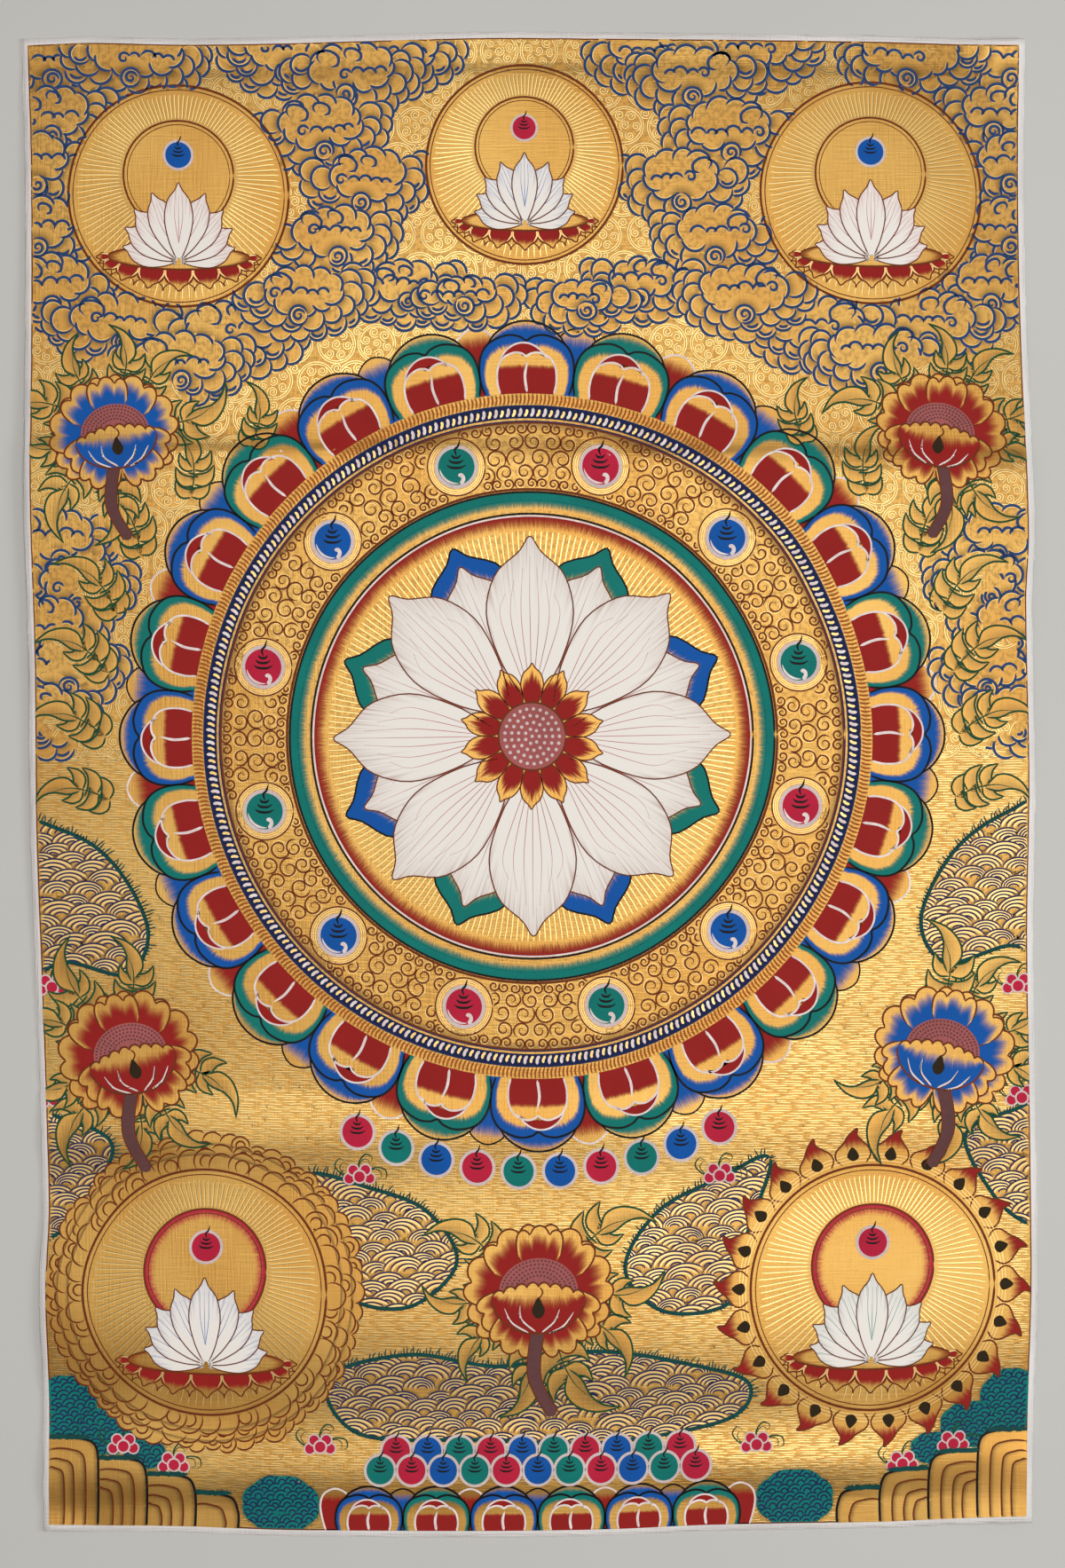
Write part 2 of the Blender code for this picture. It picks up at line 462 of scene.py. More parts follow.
def colour(name, description, rgb):
    return FloatVectorProperty(name=name, description=description, default=rgb, size=3,
                               min=0.0, max=1.0, subtype="COLOR")


class ClothSettings(bpy.types.PropertyGroup):
    """The primed cotton."""
    bare_margin: length("Bare margin", "Unpainted cotton along each edge", 3)
    thread_pitch: length("Thread pitch", "Distance between the threads of the weave", 0.9)
    cotton: colour("Cotton", "Primed cotton of the bare margin", (0.95, 0.9, 0.91))
    frayed_threads: IntProperty(name="Frayed threads", description="Loose fibres along the cut edge",
                                default=150, min=0, max=2000)


class GoldSettings(bpy.types.PropertyGroup):
    """The gold paint."""
    ground: colour("Ground", "Gold paint of the ground", (0.365, 0.18, 0.04))
    pale: colour("Pale gold", "Where the gold lies thick", (0.495, 0.285, 0.078))
    shade: colour("Shaded gold", "Brown glaze over the gold", (0.13, 0.072, 0.024))
    polished: colour("Polished gold", "Lines burnished into the gold", (0.66, 0.45, 0.18))
    roughness: FloatProperty(name="Roughness", description="Roughness of the unpolished gold",
                             default=0.40, min=0.05, max=1.0)


class PaintSettings(bpy.types.PropertyGroup):
    """Mineral colours and line widths."""
    slate: colour("Slate blue", "Lines of the clouds", (0.018, 0.05, 0.15))
    indigo: colour("Indigo", "Lines of the water and of the rope", (0.008, 0.016, 0.085))
    blue: colour("Blue", "Blue petals and jewels", (0.002, 0.105, 0.47))
    teal: colour("Teal", "Green-blue petals, rings, jewels and shores", (0.001, 0.215, 0.19))
    crimson: colour("Crimson", "Pink-red jewels and blossom", (0.6, 0.014, 0.055))
    brick: colour("Brick red", "Red petals", (0.36, 0.012, 0.01))
    rose: colour("Rose", "Seed heads", (0.46, 0.12, 0.12))
    white: colour("White", "White petals", (0.96, 0.9, 0.87))
    rim: colour("Pale rim", "Pinkish white outlines", (0.8, 0.64, 0.64))
    black: colour("Black", "Black outlines", (0.004, 0.003, 0.004))
    brown: colour("Brown", "Red-brown outlines", (0.145, 0.026, 0.004))
    orange: colour("Orange brown", "Hatching and the flush of the petals", (0.34, 0.075, 0.008))
    moss: colour("Moss", "Shores, moss and tufts", (0.002, 0.055, 0.052))
    umber: colour("Umber", "Seeds at the foot of the flames", (0.03, 0.016, 0.004))
    mauve: colour("Mauve", "Stems of the flowers", (0.15, 0.058, 0.06))
    leaf: colour("Leaf green", "Outlines of the leaves", (0.01, 0.06, 0.024))
    line: length("Line", "Width of an outline", 1.05)


class CanvasSettings(bpy.types.PropertyGroup):
    """All that the painted canvas is made from."""
    cloth: PointerProperty(type=ClothSettings)
    gold: PointerProperty(type=GoldSettings)
    paint: PointerProperty(type=PaintSettings)


def settings():
    return bpy.context.scene.painted_canvas


# ---- finishes

PAINT_RELIEF = 0.00004    # m, of the weave under the paint
COTTON_RELIEF = 0.00014   # m, of the bare weave


def operator_for(operation, swapped=False):
    """A Python operator that adds a Math node."""
    def apply(self, other):
        pair = (other, self) if swapped else (self, other)
        return self.finish.node("Math", {"operation": operation}, dict(enumerate(pair)))
    return apply


class Value:
    """A shader socket that Python's operators work on."""

    def __init__(self, finish, socket):
        self.finish, self.socket = finish, socket

    __add__ = operator_for("ADD")
    __radd__ = operator_for("ADD", swapped=True)
    __sub__ = operator_for("SUBTRACT")
    __rsub__ = operator_for("SUBTRACT", swapped=True)
    __mul__ = operator_for("MULTIPLY")
    __rmul__ = operator_for("MULTIPLY", swapped=True)


class Finish:
    """A node-based material. Every node comes from the method node."""

    def __init__(self, name, **sockets):
        self.material = bpy.data.materials.new(name)
        self.material.use_nodes = True
        self.tree = self.material.node_tree
        self.shader = self.tree.nodes["Principled BSDF"]
        self.connect(**sockets)

    def node(self, kind, options=None, inputs=None, output=0):
        """Adds a node and returns one output, or several if output is a tuple."""
        made = self.tree.nodes.new("ShaderNode" + kind)
        for key, value in (options or {}).items():
            setattr(made, key, value)
        for key, value in (inputs or {}).items():
            self._join(value, made.inputs[key])
        if isinstance(output, tuple):
            return [Value(self, made.outputs[key]) for key in output]
        return Value(self, made.outputs[output])

    def _join(self, value, socket):
        if isinstance(value, Value):
            self.tree.links.new(value.socket, socket)
        elif socket.type == "RGBA":
            socket.default_value = (*tuple(value)[:3], 1)
        else:
            socket.default_value = value

    def connect(self, **sockets):
        """Sets or links sockets of the shader, with _ for spaces."""
        for key, value in sockets.items():
            self._join(value, self.shader.inputs[key.replace("_", " ")])

    def place(self, stretch=(1, 1, 1)):
        """The spot on the cloth in metres, times a stretch."""
        spot = self.node("TexCoord", output="Object")
        return self.node("VectorMath", {"operation": "MULTIPLY"}, {0: spot, 1: stretch})

    def noise(self, stretch, detail=2, place=None):
        """Noise from 0 to 1 with features of 1 / stretch metres."""
        spot = place or self.place((*stretch, 1))
        return self.node("TexNoise", {"noise_dimensions": "2D"},
                         {"Vector": spot, "Scale": 1, "Detail": detail, "Roughness": 0.5})

    def brush(self):
        """The brush coordinates: across the stroke, and along it in mm."""
        spot = self.node("UVMap", {"uv_map": "brush"})
        return self.node("SeparateXYZ", None, {0: spot}, output=(0, 1))

    def hairs(self, rate_along, rate_across, detail=2):
        """Noise in streaks along the brush, and the coordinate across it."""
        across, along = self.brush()
        spot = self.node("CombineXYZ", None, {0: along * rate_along, 1: across * rate_across})
        return self.noise((1, 1), detail, place=spot), across

    def blend(self, share, one, other):
        return self.node("Mix", {"data_type": "RGBA"}, {0: share, 6: one, 7: other}, output=2)

    def ramp(self, value, low, high):
        """0 below low, 1 above high, smooth between."""
        return self.node("MapRange", {"interpolation_type": "SMOOTHSTEP"},
                         {0: value, 1: low, 2: high})

    def weave(self):
        """Height of the cotton's threads, about -1 to 1."""
        rate = math.tau / settings().cloth.thread_pitch
        parts = self.node("SeparateXYZ", None, {0: self.place((rate, rate, 0))}, output=(0, 1))
        waves = [self.node("Math", {"operation": "SINE"}, {0: part}) for part in parts]
        slubs = self.noise((60, 1100), detail=1) + self.noise((1100, 60), detail=1) - 1
        return waves[0] * waves[1] * 0.35 + slubs * 2.2

    def bump(self, height, distance):
        self.connect(Normal=self.node("Bump", None, {
            "Height": height, "Distance": distance, "Strength": 1}))


def gold_tones(finish, base, pale):
    """Colour, roughness and height of gold paint on the weave."""
    gold = settings().gold
    cloud = finish.noise((14, 14), detail=4)
    threads = finish.weave()
    grain = finish.noise((2300, 2300), detail=1)
    share = finish.ramp(cloud + threads * 0.06 + (grain - 0.5) * 0.35, 0.25, 0.85)
    tone = finish.blend(share, base, pale)
    rough = gold.roughness + (cloud - 0.5) * 0.1 + (grain - 0.5) * 0.12
    return tone, rough, threads * 0.5 + grain * 0.35


def gold_finish(name, shaded=None, striped=False):
    """Gold paint. shaded is how dark its brown glaze is where brush x is 0."""
    gold = settings().gold
    finish = Finish(name, Metallic=0.88, Specular_Tint=(1, 0.9, 0.7))
    tone, rough, height = gold_tones(finish, gold.ground, gold.pale)
    if striped:
        up = finish.node("SeparateXYZ", None, {0: finish.place()}, output=1)
        rows = finish.ramp(finish.noise((130, 900), detail=1), 0.38, 0.62)
        low = 1 - finish.ramp(up, SKY_FOOT * MM - 0.004, SKY_FOOT * MM + 0.004)
        # Above SKY_FOOT the gold is darkened in pits: partly a stipple of the tooling, partly painted shade
        # that makes the whole upper part darker.
        pits_and_top_shade = finish.ramp(finish.noise((420, 420), detail=2), 0.4, 0.66)
        tone = finish.blend((rows * low * 0.5 + pits_and_top_shade * (1 - low)) * 0.42, tone, gold.shade)
        height = height + rows * low * 0.8
    if shaded:
        hairs, across = finish.hairs(2.4, 0.8)
        depth = (1 - finish.ramp(across + (hairs - 0.5) * 0.35, 0, 0.95)) * shaded
        tone = finish.blend(depth, tone, gold.shade)
    finish.connect(Base_Color=tone, Roughness=rough)
    finish.bump(height, PAINT_RELIEF)
    return finish.material


def polished_finish(name, rgb=None, roughness=0.34, side_shade=0.72):
    """Gold rubbed bright, or laid thick. side_shade is how dark one side of a line is: painted shade for
    the shadow beside a raised line.
    """
    gold = settings().gold
    finish = Finish(name, Metallic=0.9)
    cloud = finish.noise((40, 40), detail=2)
    rgb = rgb or gold.polished
    across = finish.brush()[0]
    tone = finish.blend(cloud, rgb, [c * 0.86 for c in rgb])
    # Painted shade: the side of each line at brush x 0 is darker, as if it were the shadowed flank of a
    # raised line.
    if side_shade:
        side = finish.ramp(across, 0.25, 0.75)
        tone = finish.blend(side, [c * (1 - side_shade) for c in rgb], tone)
    finish.connect(Base_Color=tone, Roughness=roughness + (cloud - 0.5) * 0.12)
    return finish.material


def pigment_finish(name, rgb):
    """Matt mineral colour, brushed on in hair-fine streaks."""
    finish = Finish(name, Specular_IOR_Level=0.15)
    hairs, _ = finish.hairs(1.8, 1.4)
    cloud = finish.noise((45, 45), detail=3)
    threads = finish.weave()
    share = finish.ramp(hairs * 0.5 + cloud * 0.5 + threads * 0.05, 0.3, 0.7)
    finish.connect(Base_Color=finish.blend(share, [c * 0.78 for c in rgb], rgb),
                   Roughness=0.62 + (hairs - 0.5) * 0.15)
    finish.bump(threads * 0.6 + hairs * 0.4, PAINT_RELIEF)
    return finish.material


def fading_finish(name, rgb, fade_from, fade_to, onto=None):
    """Mineral colour at brush x 1 that fades inwards, in streaks, to the colour onto, or to gold.

    Swapping fade_from and fade_to puts the colour at brush x 0.
    """
    gold = settings().gold
    finish = Finish(name, Specular_IOR_Level=0.15)
    hairs, across = finish.hairs(2.6, 1.1, detail=3)
    share = finish.ramp(across + (hairs - 0.5) * 0.5 * abs(fade_to - fade_from) * 2, fade_from, fade_to)
    cloud = finish.noise((45, 45), detail=3)
    paint = finish.blend(cloud, [c * 0.8 for c in rgb], rgb)
    if onto is None:
        tone, rough, height = gold_tones(finish, gold.ground, gold.pale)
        finish.connect(Base_Color=finish.blend(share, tone, paint), Metallic=0.88 - share * 0.88,
                       Roughness=rough + share * (0.6 - gold.roughness))
    else:
        height = finish.weave() * 0.5
        finish.connect(Base_Color=finish.blend(share, onto, paint),
                       Roughness=0.6 + (cloud - 0.5) * 0.1)
    finish.bump(height, PAINT_RELIEF)
    return finish.material


def line_finish(name, rgb):
    """A drawn line, paler where the brush ran dry."""
    finish = Finish(name, Specular_IOR_Level=0.12)
    load = finish.noise((260, 260), detail=2)
    wash = finish.noise((30, 30), detail=2)
    share = finish.ramp(load * 0.6 + wash * 0.4, 0.35, 0.75)
    finish.connect(Base_Color=finish.blend(share, rgb, [min(1, c * 1.4 + 0.003) for c in rgb]),
                   Roughness=0.45 + share * 0.2)
    return finish.material


def cotton_finish():
    cloth = settings().cloth
    finish = Finish("primed cotton", Roughness=0.9, Sheen_Weight=0.15)
    threads = finish.weave()
    stain = finish.noise((22, 22), detail=4)
    share = finish.ramp(stain + threads * 0.08, 0.2, 0.8)
    finish.connect(Base_Color=finish.blend(share, [c * 0.86 for c in cloth.cotton], cloth.cotton))
    finish.bump(threads, COTTON_RELIEF)
    return finish.material


# Mineral colours that fade to gold. Columns: words of the name, brush x where gold ends and where
# the colour is full.
FADES = {
    "edge": ("fading to gold", 0.78, 0.88), "soft": ("fading softly", 0.05, 0.95),
    "cap": ("cap on gold", 0.95, 0.45), "core": ("core on gold", 0.86, 0.62),
    "bloom": ("petals on gold", 0.92, 0.7), "brim": ("brim on gold", 0.78, 0.46),
    "bold": ("heart on gold", 0.72, 0.6), "flame": ("flame on gold", 0.4, 0.72),
}


class Finishes(dict):
    """Finishes made when they are first used."""

    def __missing__(self, name):
        paint = settings().paint
        kind, _, shade = name.partition(" ")
        rgb = tuple(getattr(paint, shade)) if shade else None
        makers = {
            "gold": lambda: gold_finish("gold paint", striped=True),
            "plain": lambda: gold_finish("plain gold"),
            "shaded": lambda: gold_finish("shaded gold", shaded=0.82),
            "veined": lambda: gold_finish("veined gold", shaded=0.5),
            "burnish": lambda: polished_finish("burnished gold"),
            "lit": lambda: polished_finish("pale gold line", (0.64, 0.425, 0.17), 0.42, side_shade=0),
            "pigment": lambda: pigment_finish(f"{shade} pigment", rgb),
            "line": lambda: line_finish(f"{shade} line", rgb),
            "flush": lambda: fading_finish(f"{shade} flush on white", rgb, 0.72, 1.6, tuple(paint.white)),
            "cotton": cotton_finish,
        }
        if kind in FADES:
            words, fade_from, fade_to = FADES[kind]
            self[name] = fading_finish(f"{shade} {words}", rgb, fade_from, fade_to)
        else:
            self[name] = makers[kind]()
        return self[name]


FINISHES = Finishes()
# Heights of the films over the cotton, in mm.
LEVELS = {
    "ground": 0.06, "disc": 0.075, "burnish": 0.09, "low": 0.15, "shade": 0.21, "fill": 0.27,
    "middle": 0.33, "over": 0.39, "line": 0.45, "tip": 0.51, "top": 0.92,
}


def film(name, finish, level):
    return Film(name, FINISHES[finish], LEVELS[level])


class Layers:
    """The films of one motif, each made when it is first used."""

    def __init__(self, motif):
        self.motif, self.films = motif, {}

    def __call__(self, part, finish, level):
        """The film of a part, with its finish and its height."""
        if part not in self.films:
            self.films[part] = Film(f"{self.motif}_{part}", FINISHES[finish], LEVELS[level])
        return self.films[part]

    def lay(self):
        for layer in self.films.values():
            if layer.count:
                layer.lay()


# ---- the layout, in mm

WHEEL = (0, 24)
WHEEL_RADIUS = 208
# Columns: name, across, up, radius, colour of the bloom, colour of the jewel.
MEDALLIONS = (
    ("head_left", -176, 298, 56, "crimson", "blue"),
    ("head_middle", 0, 311, 50, "blue", "crimson"),
    ("head_right", 176, 298, 56, "crimson", "blue"),
    ("foot_left", -170, -256, 62, "blue", "crimson"),
    ("foot_right", 170, -256, 62, "teal", "crimson"),
)
# Columns: name, across, up, size, colour, tilt in degrees.
FLOWERS = (
    ("upper_left", -208, 178, 31, "blue", 10),
    ("upper_right", 208, 178, 31, "brick", -10),
    ("lower_left", -207, -136, 34, "brick", 14),
    ("lower_right", 207, -136, 34, "blue", -14),
    ("foot", 0, -254, 36, "brick", 0),
)
# Leaves on the right of the wheel; the left has their mirror images.
# Columns: across, up, direction of the leaf, its length, side its tip droops away from.
SPRAYS = (
    (209, 86, 50, 40, 1), (214, 56, 34, 40, 1), (216, 24, 22, 40, 1),
    (214, -8, 8, 38, 1), (196, 116, 66, 38, 1), (170, 146, 84, 36, 1),
    (140, 172, 98, 32, 1),
)
# Heads of cloud on the right, from the back; the left has their mirror images.
# Columns: across, up, half width, half height.
CLOUD_HEADS = (
    (243, 372, 22, 12), (118, 373, 22, 12), (196, 371, 25, 13),
    (62, 371, 20, 11), (88, 360, 22, 12), (240, 342, 19, 11),
    (246, 316, 15, 12), (104, 333, 21, 13), (244, 286, 17, 12),
    (80, 306, 20, 13), (240, 256, 20, 12), (98, 278, 20, 12),
    (206, 235, 24, 12), (60, 254, 17, 9), (148, 232, 25, 12),
    (112, 250, 22, 12), (176, 218, 24, 11), (28, 247, 15, 7),
    (240, 128, 21, 12), (230, 104, 19, 11), (246, 84, 19, 12),
    (234, 60, 18, 11), (247, 38, 15, 11),
)
# Closed outlines of still water.
POOLS = (
    ("foot", ((-108, -298), (-66, -286), (-20, -292), (30, -285), (80, -294), (108, -304),
              (96, -322), (34, -331), (-30, -329), (-92, -326))),
    ("left", ((-270, -22), (-236, -24), (-211, -42), (-196, -74), (-208, -96), (-240, -90),
              (-270, -100))),
    ("right", ((270, -10), (240, -16), (213, -36), (197, -70), (210, -92), (244, -84), (270, -96))),
    ("middle_left", ((-118, -196), (-88, -202), (-58, -214), (-42, -240), (-66, -262), (-98, -256),
                     (-104, -226))),
    ("middle_right", ((118, -190), (92, -200), (60, -216), (44, -244), (64, -266), (98, -262),
                      (106, -228))),
    ("lower_left", ((-270, -168), (-240, -170), (-218, -182), (-228, -206), (-244, -226),
                    (-270, -232))),
    ("lower_right", ((270, -164), (242, -168), (218, -180), (230, -208), (246, -224), (270, -230))),
)
# Rocks along the foot on the left; the right has their mirror images. Columns: from, to, top.
ROCKS = (
    (-251, -226, -331), (-226, -201, -341), (-201, -176, -349),
    (-176, -154, -358),
)
# Bushes and blossom are on both sides. Columns: across, up, and for a bush its half width and height.
BUSHES = (
    (-132, -362, 20, 15), (-242, -315, 16, 16), (-221, -327, 15, 12),
    (-202, -338, 11, 8),
)
BLOSSOMS = ((213, -336), (187, -345), (112, -334), (246, -104), (247, -161),
            (92, -198))
SKY_FOOT = 22           # height below which the ground is dashed instead of ringed
FRIEZE_WIDTH = 104      # half width of the band of petals along the foot
FRIEZE_TOP = -351
FRIEZE_PETALS = 6
FOOT = -375             # where rocks and petals stand
BELOW = -380            # below the foot


def front_discs(inset=1.5):
    """Discs (x, y, radius) in front of the background."""
    discs = [(*WHEEL, WHEEL_RADIUS - 14)]
    discs += [(x, y, radius - inset) for _, x, y, radius, _, _ in MEDALLIONS]
    return discs + [(x, y, size * 0.86) for _, x, y, size, _, _ in FLOWERS]


def leaf_discs():
    """Discs kept free of clouds, under the leaves."""
    discs = [(x, y, size * 1.22) for _, x, y, size, _, _ in FLOWERS]
    for x, y, degrees, size, _ in SPRAYS:
        for share in (0.25, 0.65):
            at = polar((x, y), size * share, degrees)
            discs += [(side * at[0], at[1], size * 0.27) for side in (-1, 1)]
    return discs


def inside(points, outline):
    """Which points lie within a closed outline."""
    x, y = np.asarray(points, float).T[..., None]
    ax, ay = np.asarray(outline, float).T
    bx, by = np.roll(outline, -1, axis=0).T
    crossed = (ay > y) != (by > y)
    right_of = x < (bx - ax) * (y - ay) / np.where(by == ay, 1e-9, by - ay) + ax
    return (crossed & right_of).sum(1) % 2 == 1


def pool_outlines():
    return [closed_curve(points, 90) for _, points in POOLS]


def block(left, right, top):
    """A box that reaches below the foot."""
    return np.array([(left, BELOW), (left, top), (right, top), (right, BELOW)])


def foot_outlines():
    """Outlines of rocks, bushes, frieze and lower medallions."""
    outlines = [block(-FRIEZE_WIDTH, FRIEZE_WIDTH, FRIEZE_TOP)]
    outlines += [circle((x, y), radius + 5, 60) for _, x, y, radius, _, _ in MEDALLIONS if y < 0]
    for side in (-1, 1):
        outlines += [block(start, end, top) * (-side, 1) for start, end, top in ROCKS]
        outlines += [circle((0, 0), 1, 40) * (wide, tall) + (x * -side, y) for x, y, wide, tall in BUSHES]
    return outlines


def open_ground(points, outlines, margin=0):
    """Which points the background shows at."""
    clear = clear_of(points, front_discs(), margin)
    for outline in outlines:
        clear &= ~inside(points, outline)
    return clear


def closed_curve(points, count):
    """Smooth closed curve through a few points."""
    points = np.asarray(points, float)
    around_it = np.concatenate([points[-2:], points, points[:3]])
    t = np.linspace(2, len(points) + 2, count + 1)[:-1]
    return np.column_stack([smooth(around_it[:, 0], t), smooth(around_it[:, 1], t)])


# ---- cloth and ground

def lay_cotton():
    """The closed sheet of cotton: face, back and cut edge."""
    columns, rows = CLOTH.GRID
    rng = np.random.default_rng(11)
    across, down = np.meshgrid(np.linspace(0, 1, columns), np.linspace(0, 1, rows))
    flat = np.column_stack([(across.ravel() - 0.5) * SHEET_WIDTH, (0.5 - down.ravel()) * SHEET_LENGTH])
    index = np.arange(len(flat)).reshape(rows, columns)
    rim = np.concatenate([index[0, :-1], index[:-1, -1], index[-1, :0:-1], index[:0:-1, 0]])
    flat[rim] += rng.normal(0, 0.13, (len(rim), 2))
    places = np.concatenate([CLOTH.place(flat, CLOTH_THICKNESS), CLOTH.place(flat, 0)])
    cells = cells_of(index).reshape(-1, 4)
    after = np.roll(rim, -1)
    edge = np.column_stack([rim, after, after + len(flat), rim + len(flat)])
    quads = np.concatenate([cells, cells[:, ::-1] + len(flat), edge])
    piece = mesh_piece("primed_cotton", places, quads, np.zeros((0, 3), int))
    face = (flat + [HALF_WIDTH, HALF_LENGTH]) / SHEET_LENGTH
    spread = np.concatenate([face * [1, 1], face * 0.45 + [0.69, 0]])
    add_map(piece, "OFBake", spread * 0.99 + 0.004)
    piece.data.materials.append(FINISHES["cotton"])
    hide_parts(CLOTH_NODE)
    return piece


def fray_edges():
    """Loose fibres along the cut edge."""
    rng = np.random.default_rng(12)
    fibres = Film("frayed_threads", FINISHES["cotton"], -0.25)
    paths = []
    for _ in range(settings().cloth.frayed_threads):
        side, share, run = rng.integers(4), rng.random(), rng.uniform(1.2, 4.5)
        lean = rng.uniform(-1, 1)
        x = (share - 0.5) * SHEET_WIDTH if side < 2 else HALF_WIDTH * (1 if side == 2 else -1)
        y = (share - 0.5) * SHEET_LENGTH if side > 1 else HALF_LENGTH * (1 if side == 0 else -1)
        out = np.array([0, np.sign(y)]) if side < 2 else np.array([np.sign(x), 0])
        beside = np.array([out[1], out[0]])
        start = np.array([x, y]) - out * 1.2
        paths.append(curve([start, start + out * 1.5 + beside * lean * run * 0.3,
                            start + out * rng.uniform(1.3, 2) + beside * lean * run], 6))
    fibres.strokes(paths, 0.16, least=0.08)
    fibres.lay(bounded=False)


def paint_ground():
    """Gold paint up to the bare margin, with a thin dark line round it."""
    columns, rows = CLOTH.GRID
    half = painted_half()
    x = np.linspace(-HALF_WIDTH, HALF_WIDTH, columns)
    y = np.linspace(HALF_LENGTH, -HALF_LENGTH, rows)
    across, down = np.meshgrid(*(np.concatenate([[-h], v[np.abs(v) < h - 0.5], [h]])
                                 for v, h in ((x, half[0]), (y[::-1], half[1]))))
    spots = np.stack([across, down], -1)
    ground = film("gold_ground", "gold", "ground")
    ground.grid(spots, np.zeros(spots.shape))
    ground.lay()
    rng = np.random.default_rng(13)
    border = film("border_line", "line brown", "low")
    inset = half - 0.35
    corners = np.array([[-1, 1], [1, 1], [1, -1], [-1, -1], [-1, 1]]) * inset
    for start, end in zip(corners[:-1], corners[1:]):
        spots = start + (end - start) * np.linspace(0, 1, 200)[:, None]
        spots += rng.normal(0, 0.07, spots.shape)
        border.stroke(spots, 0.6, start=0.01, end=0.01)
    border.lay()


def burnish_sky(clouds):
    """Rings of small spirals, rubbed into the gold between the clouds."""
    rng = np.random.default_rng(21)
    pitch, ring = 21, 9.7
    relief = film("burnished_rings", "burnish", "burnish")
    held = np.array(front_discs(0))
    discs = np.concatenate([held, clouds[:, :3]])
    rings, curls = [], []
    for i, y in enumerate(np.arange(SKY_FOOT, HALF_LENGTH + pitch, pitch * 0.866)):
        for x in np.arange(-HALF_WIDTH - pitch, HALF_WIDTH + pitch, pitch) + (i % 2) * pitch / 2:
            x_at, y_at = x + rng.uniform(-0.8, 0.8), y + rng.uniform(-0.8, 0.8)
            turn = rng.uniform(0, 360)
            rings += [arc((x_at, y_at), r, turn, turn + 360, 40) for r in (ring, ring - 1.1)]
            curls += [(x_at, y_at), (x_at + pitch / 2, y_at + pitch * 0.29)]
            curls += [(x_at + 5.7 * math.cos(a), y_at + 5.7 * math.sin(a))
                      for a in np.radians(turn) + np.arange(6) * math.tau / 6]
    spirals = [spiral(c, 2.75, 0.5, rng.uniform(0, 360), 1.9 * rng.choice((-1, 1)), 20) for c in curls]
    for paths, count in ((rings, 36), (spirals, 20)):
        masks = []
        for path in paths:
            middle, reach = path.mean(0), np.ptp(path, axis=0).max()
            masks.append(clear_of(path, discs[away(discs, middle) < discs[:, 2] + reach]))
        relief.cut_strokes(paths, masks, 0.6, count=count, start=0.02, end=0.02)
    relief.lay()


def burnish_ground():
    """Level dashes rubbed into the gold of the lower ground, and small tufts."""
    rng = np.random.default_rng(22)
    outlines = foot_outlines() + pool_outlines()
    dashes = film("burnished_dashes", "burnish", "burnish")
    paths = []
    for y in np.arange(-HALF_LENGTH + 4, SKY_FOOT - 4, 1.25):
        x = -HALF_WIDTH + rng.uniform(0, 6)
        while x < HALF_WIDTH:
            run = rng.uniform(5, 15)
            steps = np.linspace(0, 1, 6)
            paths.append(np.column_stack([x + steps * run,
                                          y + rng.normal(0, 0.1, 6) + rng.uniform(-0.25, 0.25)]))
            x += run + rng.uniform(0.6, 2)
    paths = np.array(paths)
    shown = open_ground(paths.reshape(-1, 2), outlines, 0.5).reshape(paths.shape[:2])
    dashes.cut_strokes(paths, shown, 0.55, count=5, **SOFT)
    dashes.lay()
    tufts = film("grass_tufts", "line moss", "low")
    spots = np.column_stack([rng.uniform(-247, 247, 380), rng.uniform(-340, SKY_FOOT, 380)])
    for spot in spots[open_ground(spots, outlines, 3)]:
        for lean in (-0.8, -0.1, 0.7):
            tip = spot + (lean * 1.5, rng.uniform(1.2, 2.4))
            tufts.stroke([spot - (lean * 0.4, 0.4), tip], 1, start=0.05)
    tufts.lay()


# ---- clouds

LOBE = 6                # mm, radius of a lobe
# An open loop near the top of a cloud head, 1 long.
LOOP = (
    (0.3, -0.3), (0.02, -0.16), (0.06, 0.2), (0.46, 0.38), (0.88, 0.3), (1, 0.02),
    (0.76, -0.26),
)
GLAZE_LEVELS = 15         # the glaze of lobes that cross lies at heights of their own
GLAZE_STEP = 0.012        # mm


def cloud_discs(rng):
    """Discs (x, y, radius, order, kind) that clouds are drawn from; a higher order is in front.

    kind is 0 for a head's core, which has no line, 1 for its lobes, 2 for scales, 3 for a curl.
    """
    discs, heads, order = [], [], 0
    for row in CLOUD_HEADS:
        for side in (1, -1):
            stray = rng.uniform(-1.5, 1.5, 4) * (1, 1, 0.6, 0.3)
            x, y, wide, tall = np.array(row) * (side, 1, 1, 1) + stray
            for ring in (2, 1):
                reach = np.array([wide, tall]) + (ring * 0.92 - 0.35) * LOBE
                sweep = np.radians(np.arange(168, 372, math.degrees(LOBE * 1.32 / reach.mean())))
                for angle in (sweep if side > 0 else math.pi - sweep):
                    order += 1
                    spot = (x, y) + reach * (math.cos(angle), math.sin(angle)) + rng.uniform(-0.7, 0.7, 2)
                    discs.append((*spot, LOBE * rng.uniform(0.84, 1.08), order, 2))
            order += 1
            count = int(math.pi * (wide + tall) / (LOBE * 1.62))
            start = rng.uniform(0, math.tau)
            for k in range(count):
                angle = start + k * math.tau / count
                spot = (x + (wide - LOBE) * math.cos(angle), y + (tall - LOBE * 0.8) * math.sin(angle))
                discs.append((*spot, LOBE * rng.uniform(0.88, 1.12), order, 1))
            for share in (-1, -0.5, 0, 0.5, 1):
                discs.append((x + share * max(0, wide - tall), y, tall * 0.8, order, 0))
            heads.append((x, y, wide, tall, order))
            order += 1
            discs.append((x + rng.uniform(-4, 4), y - tall - 1, LOBE * 0.8, order, 3))
    return np.array(discs), heads


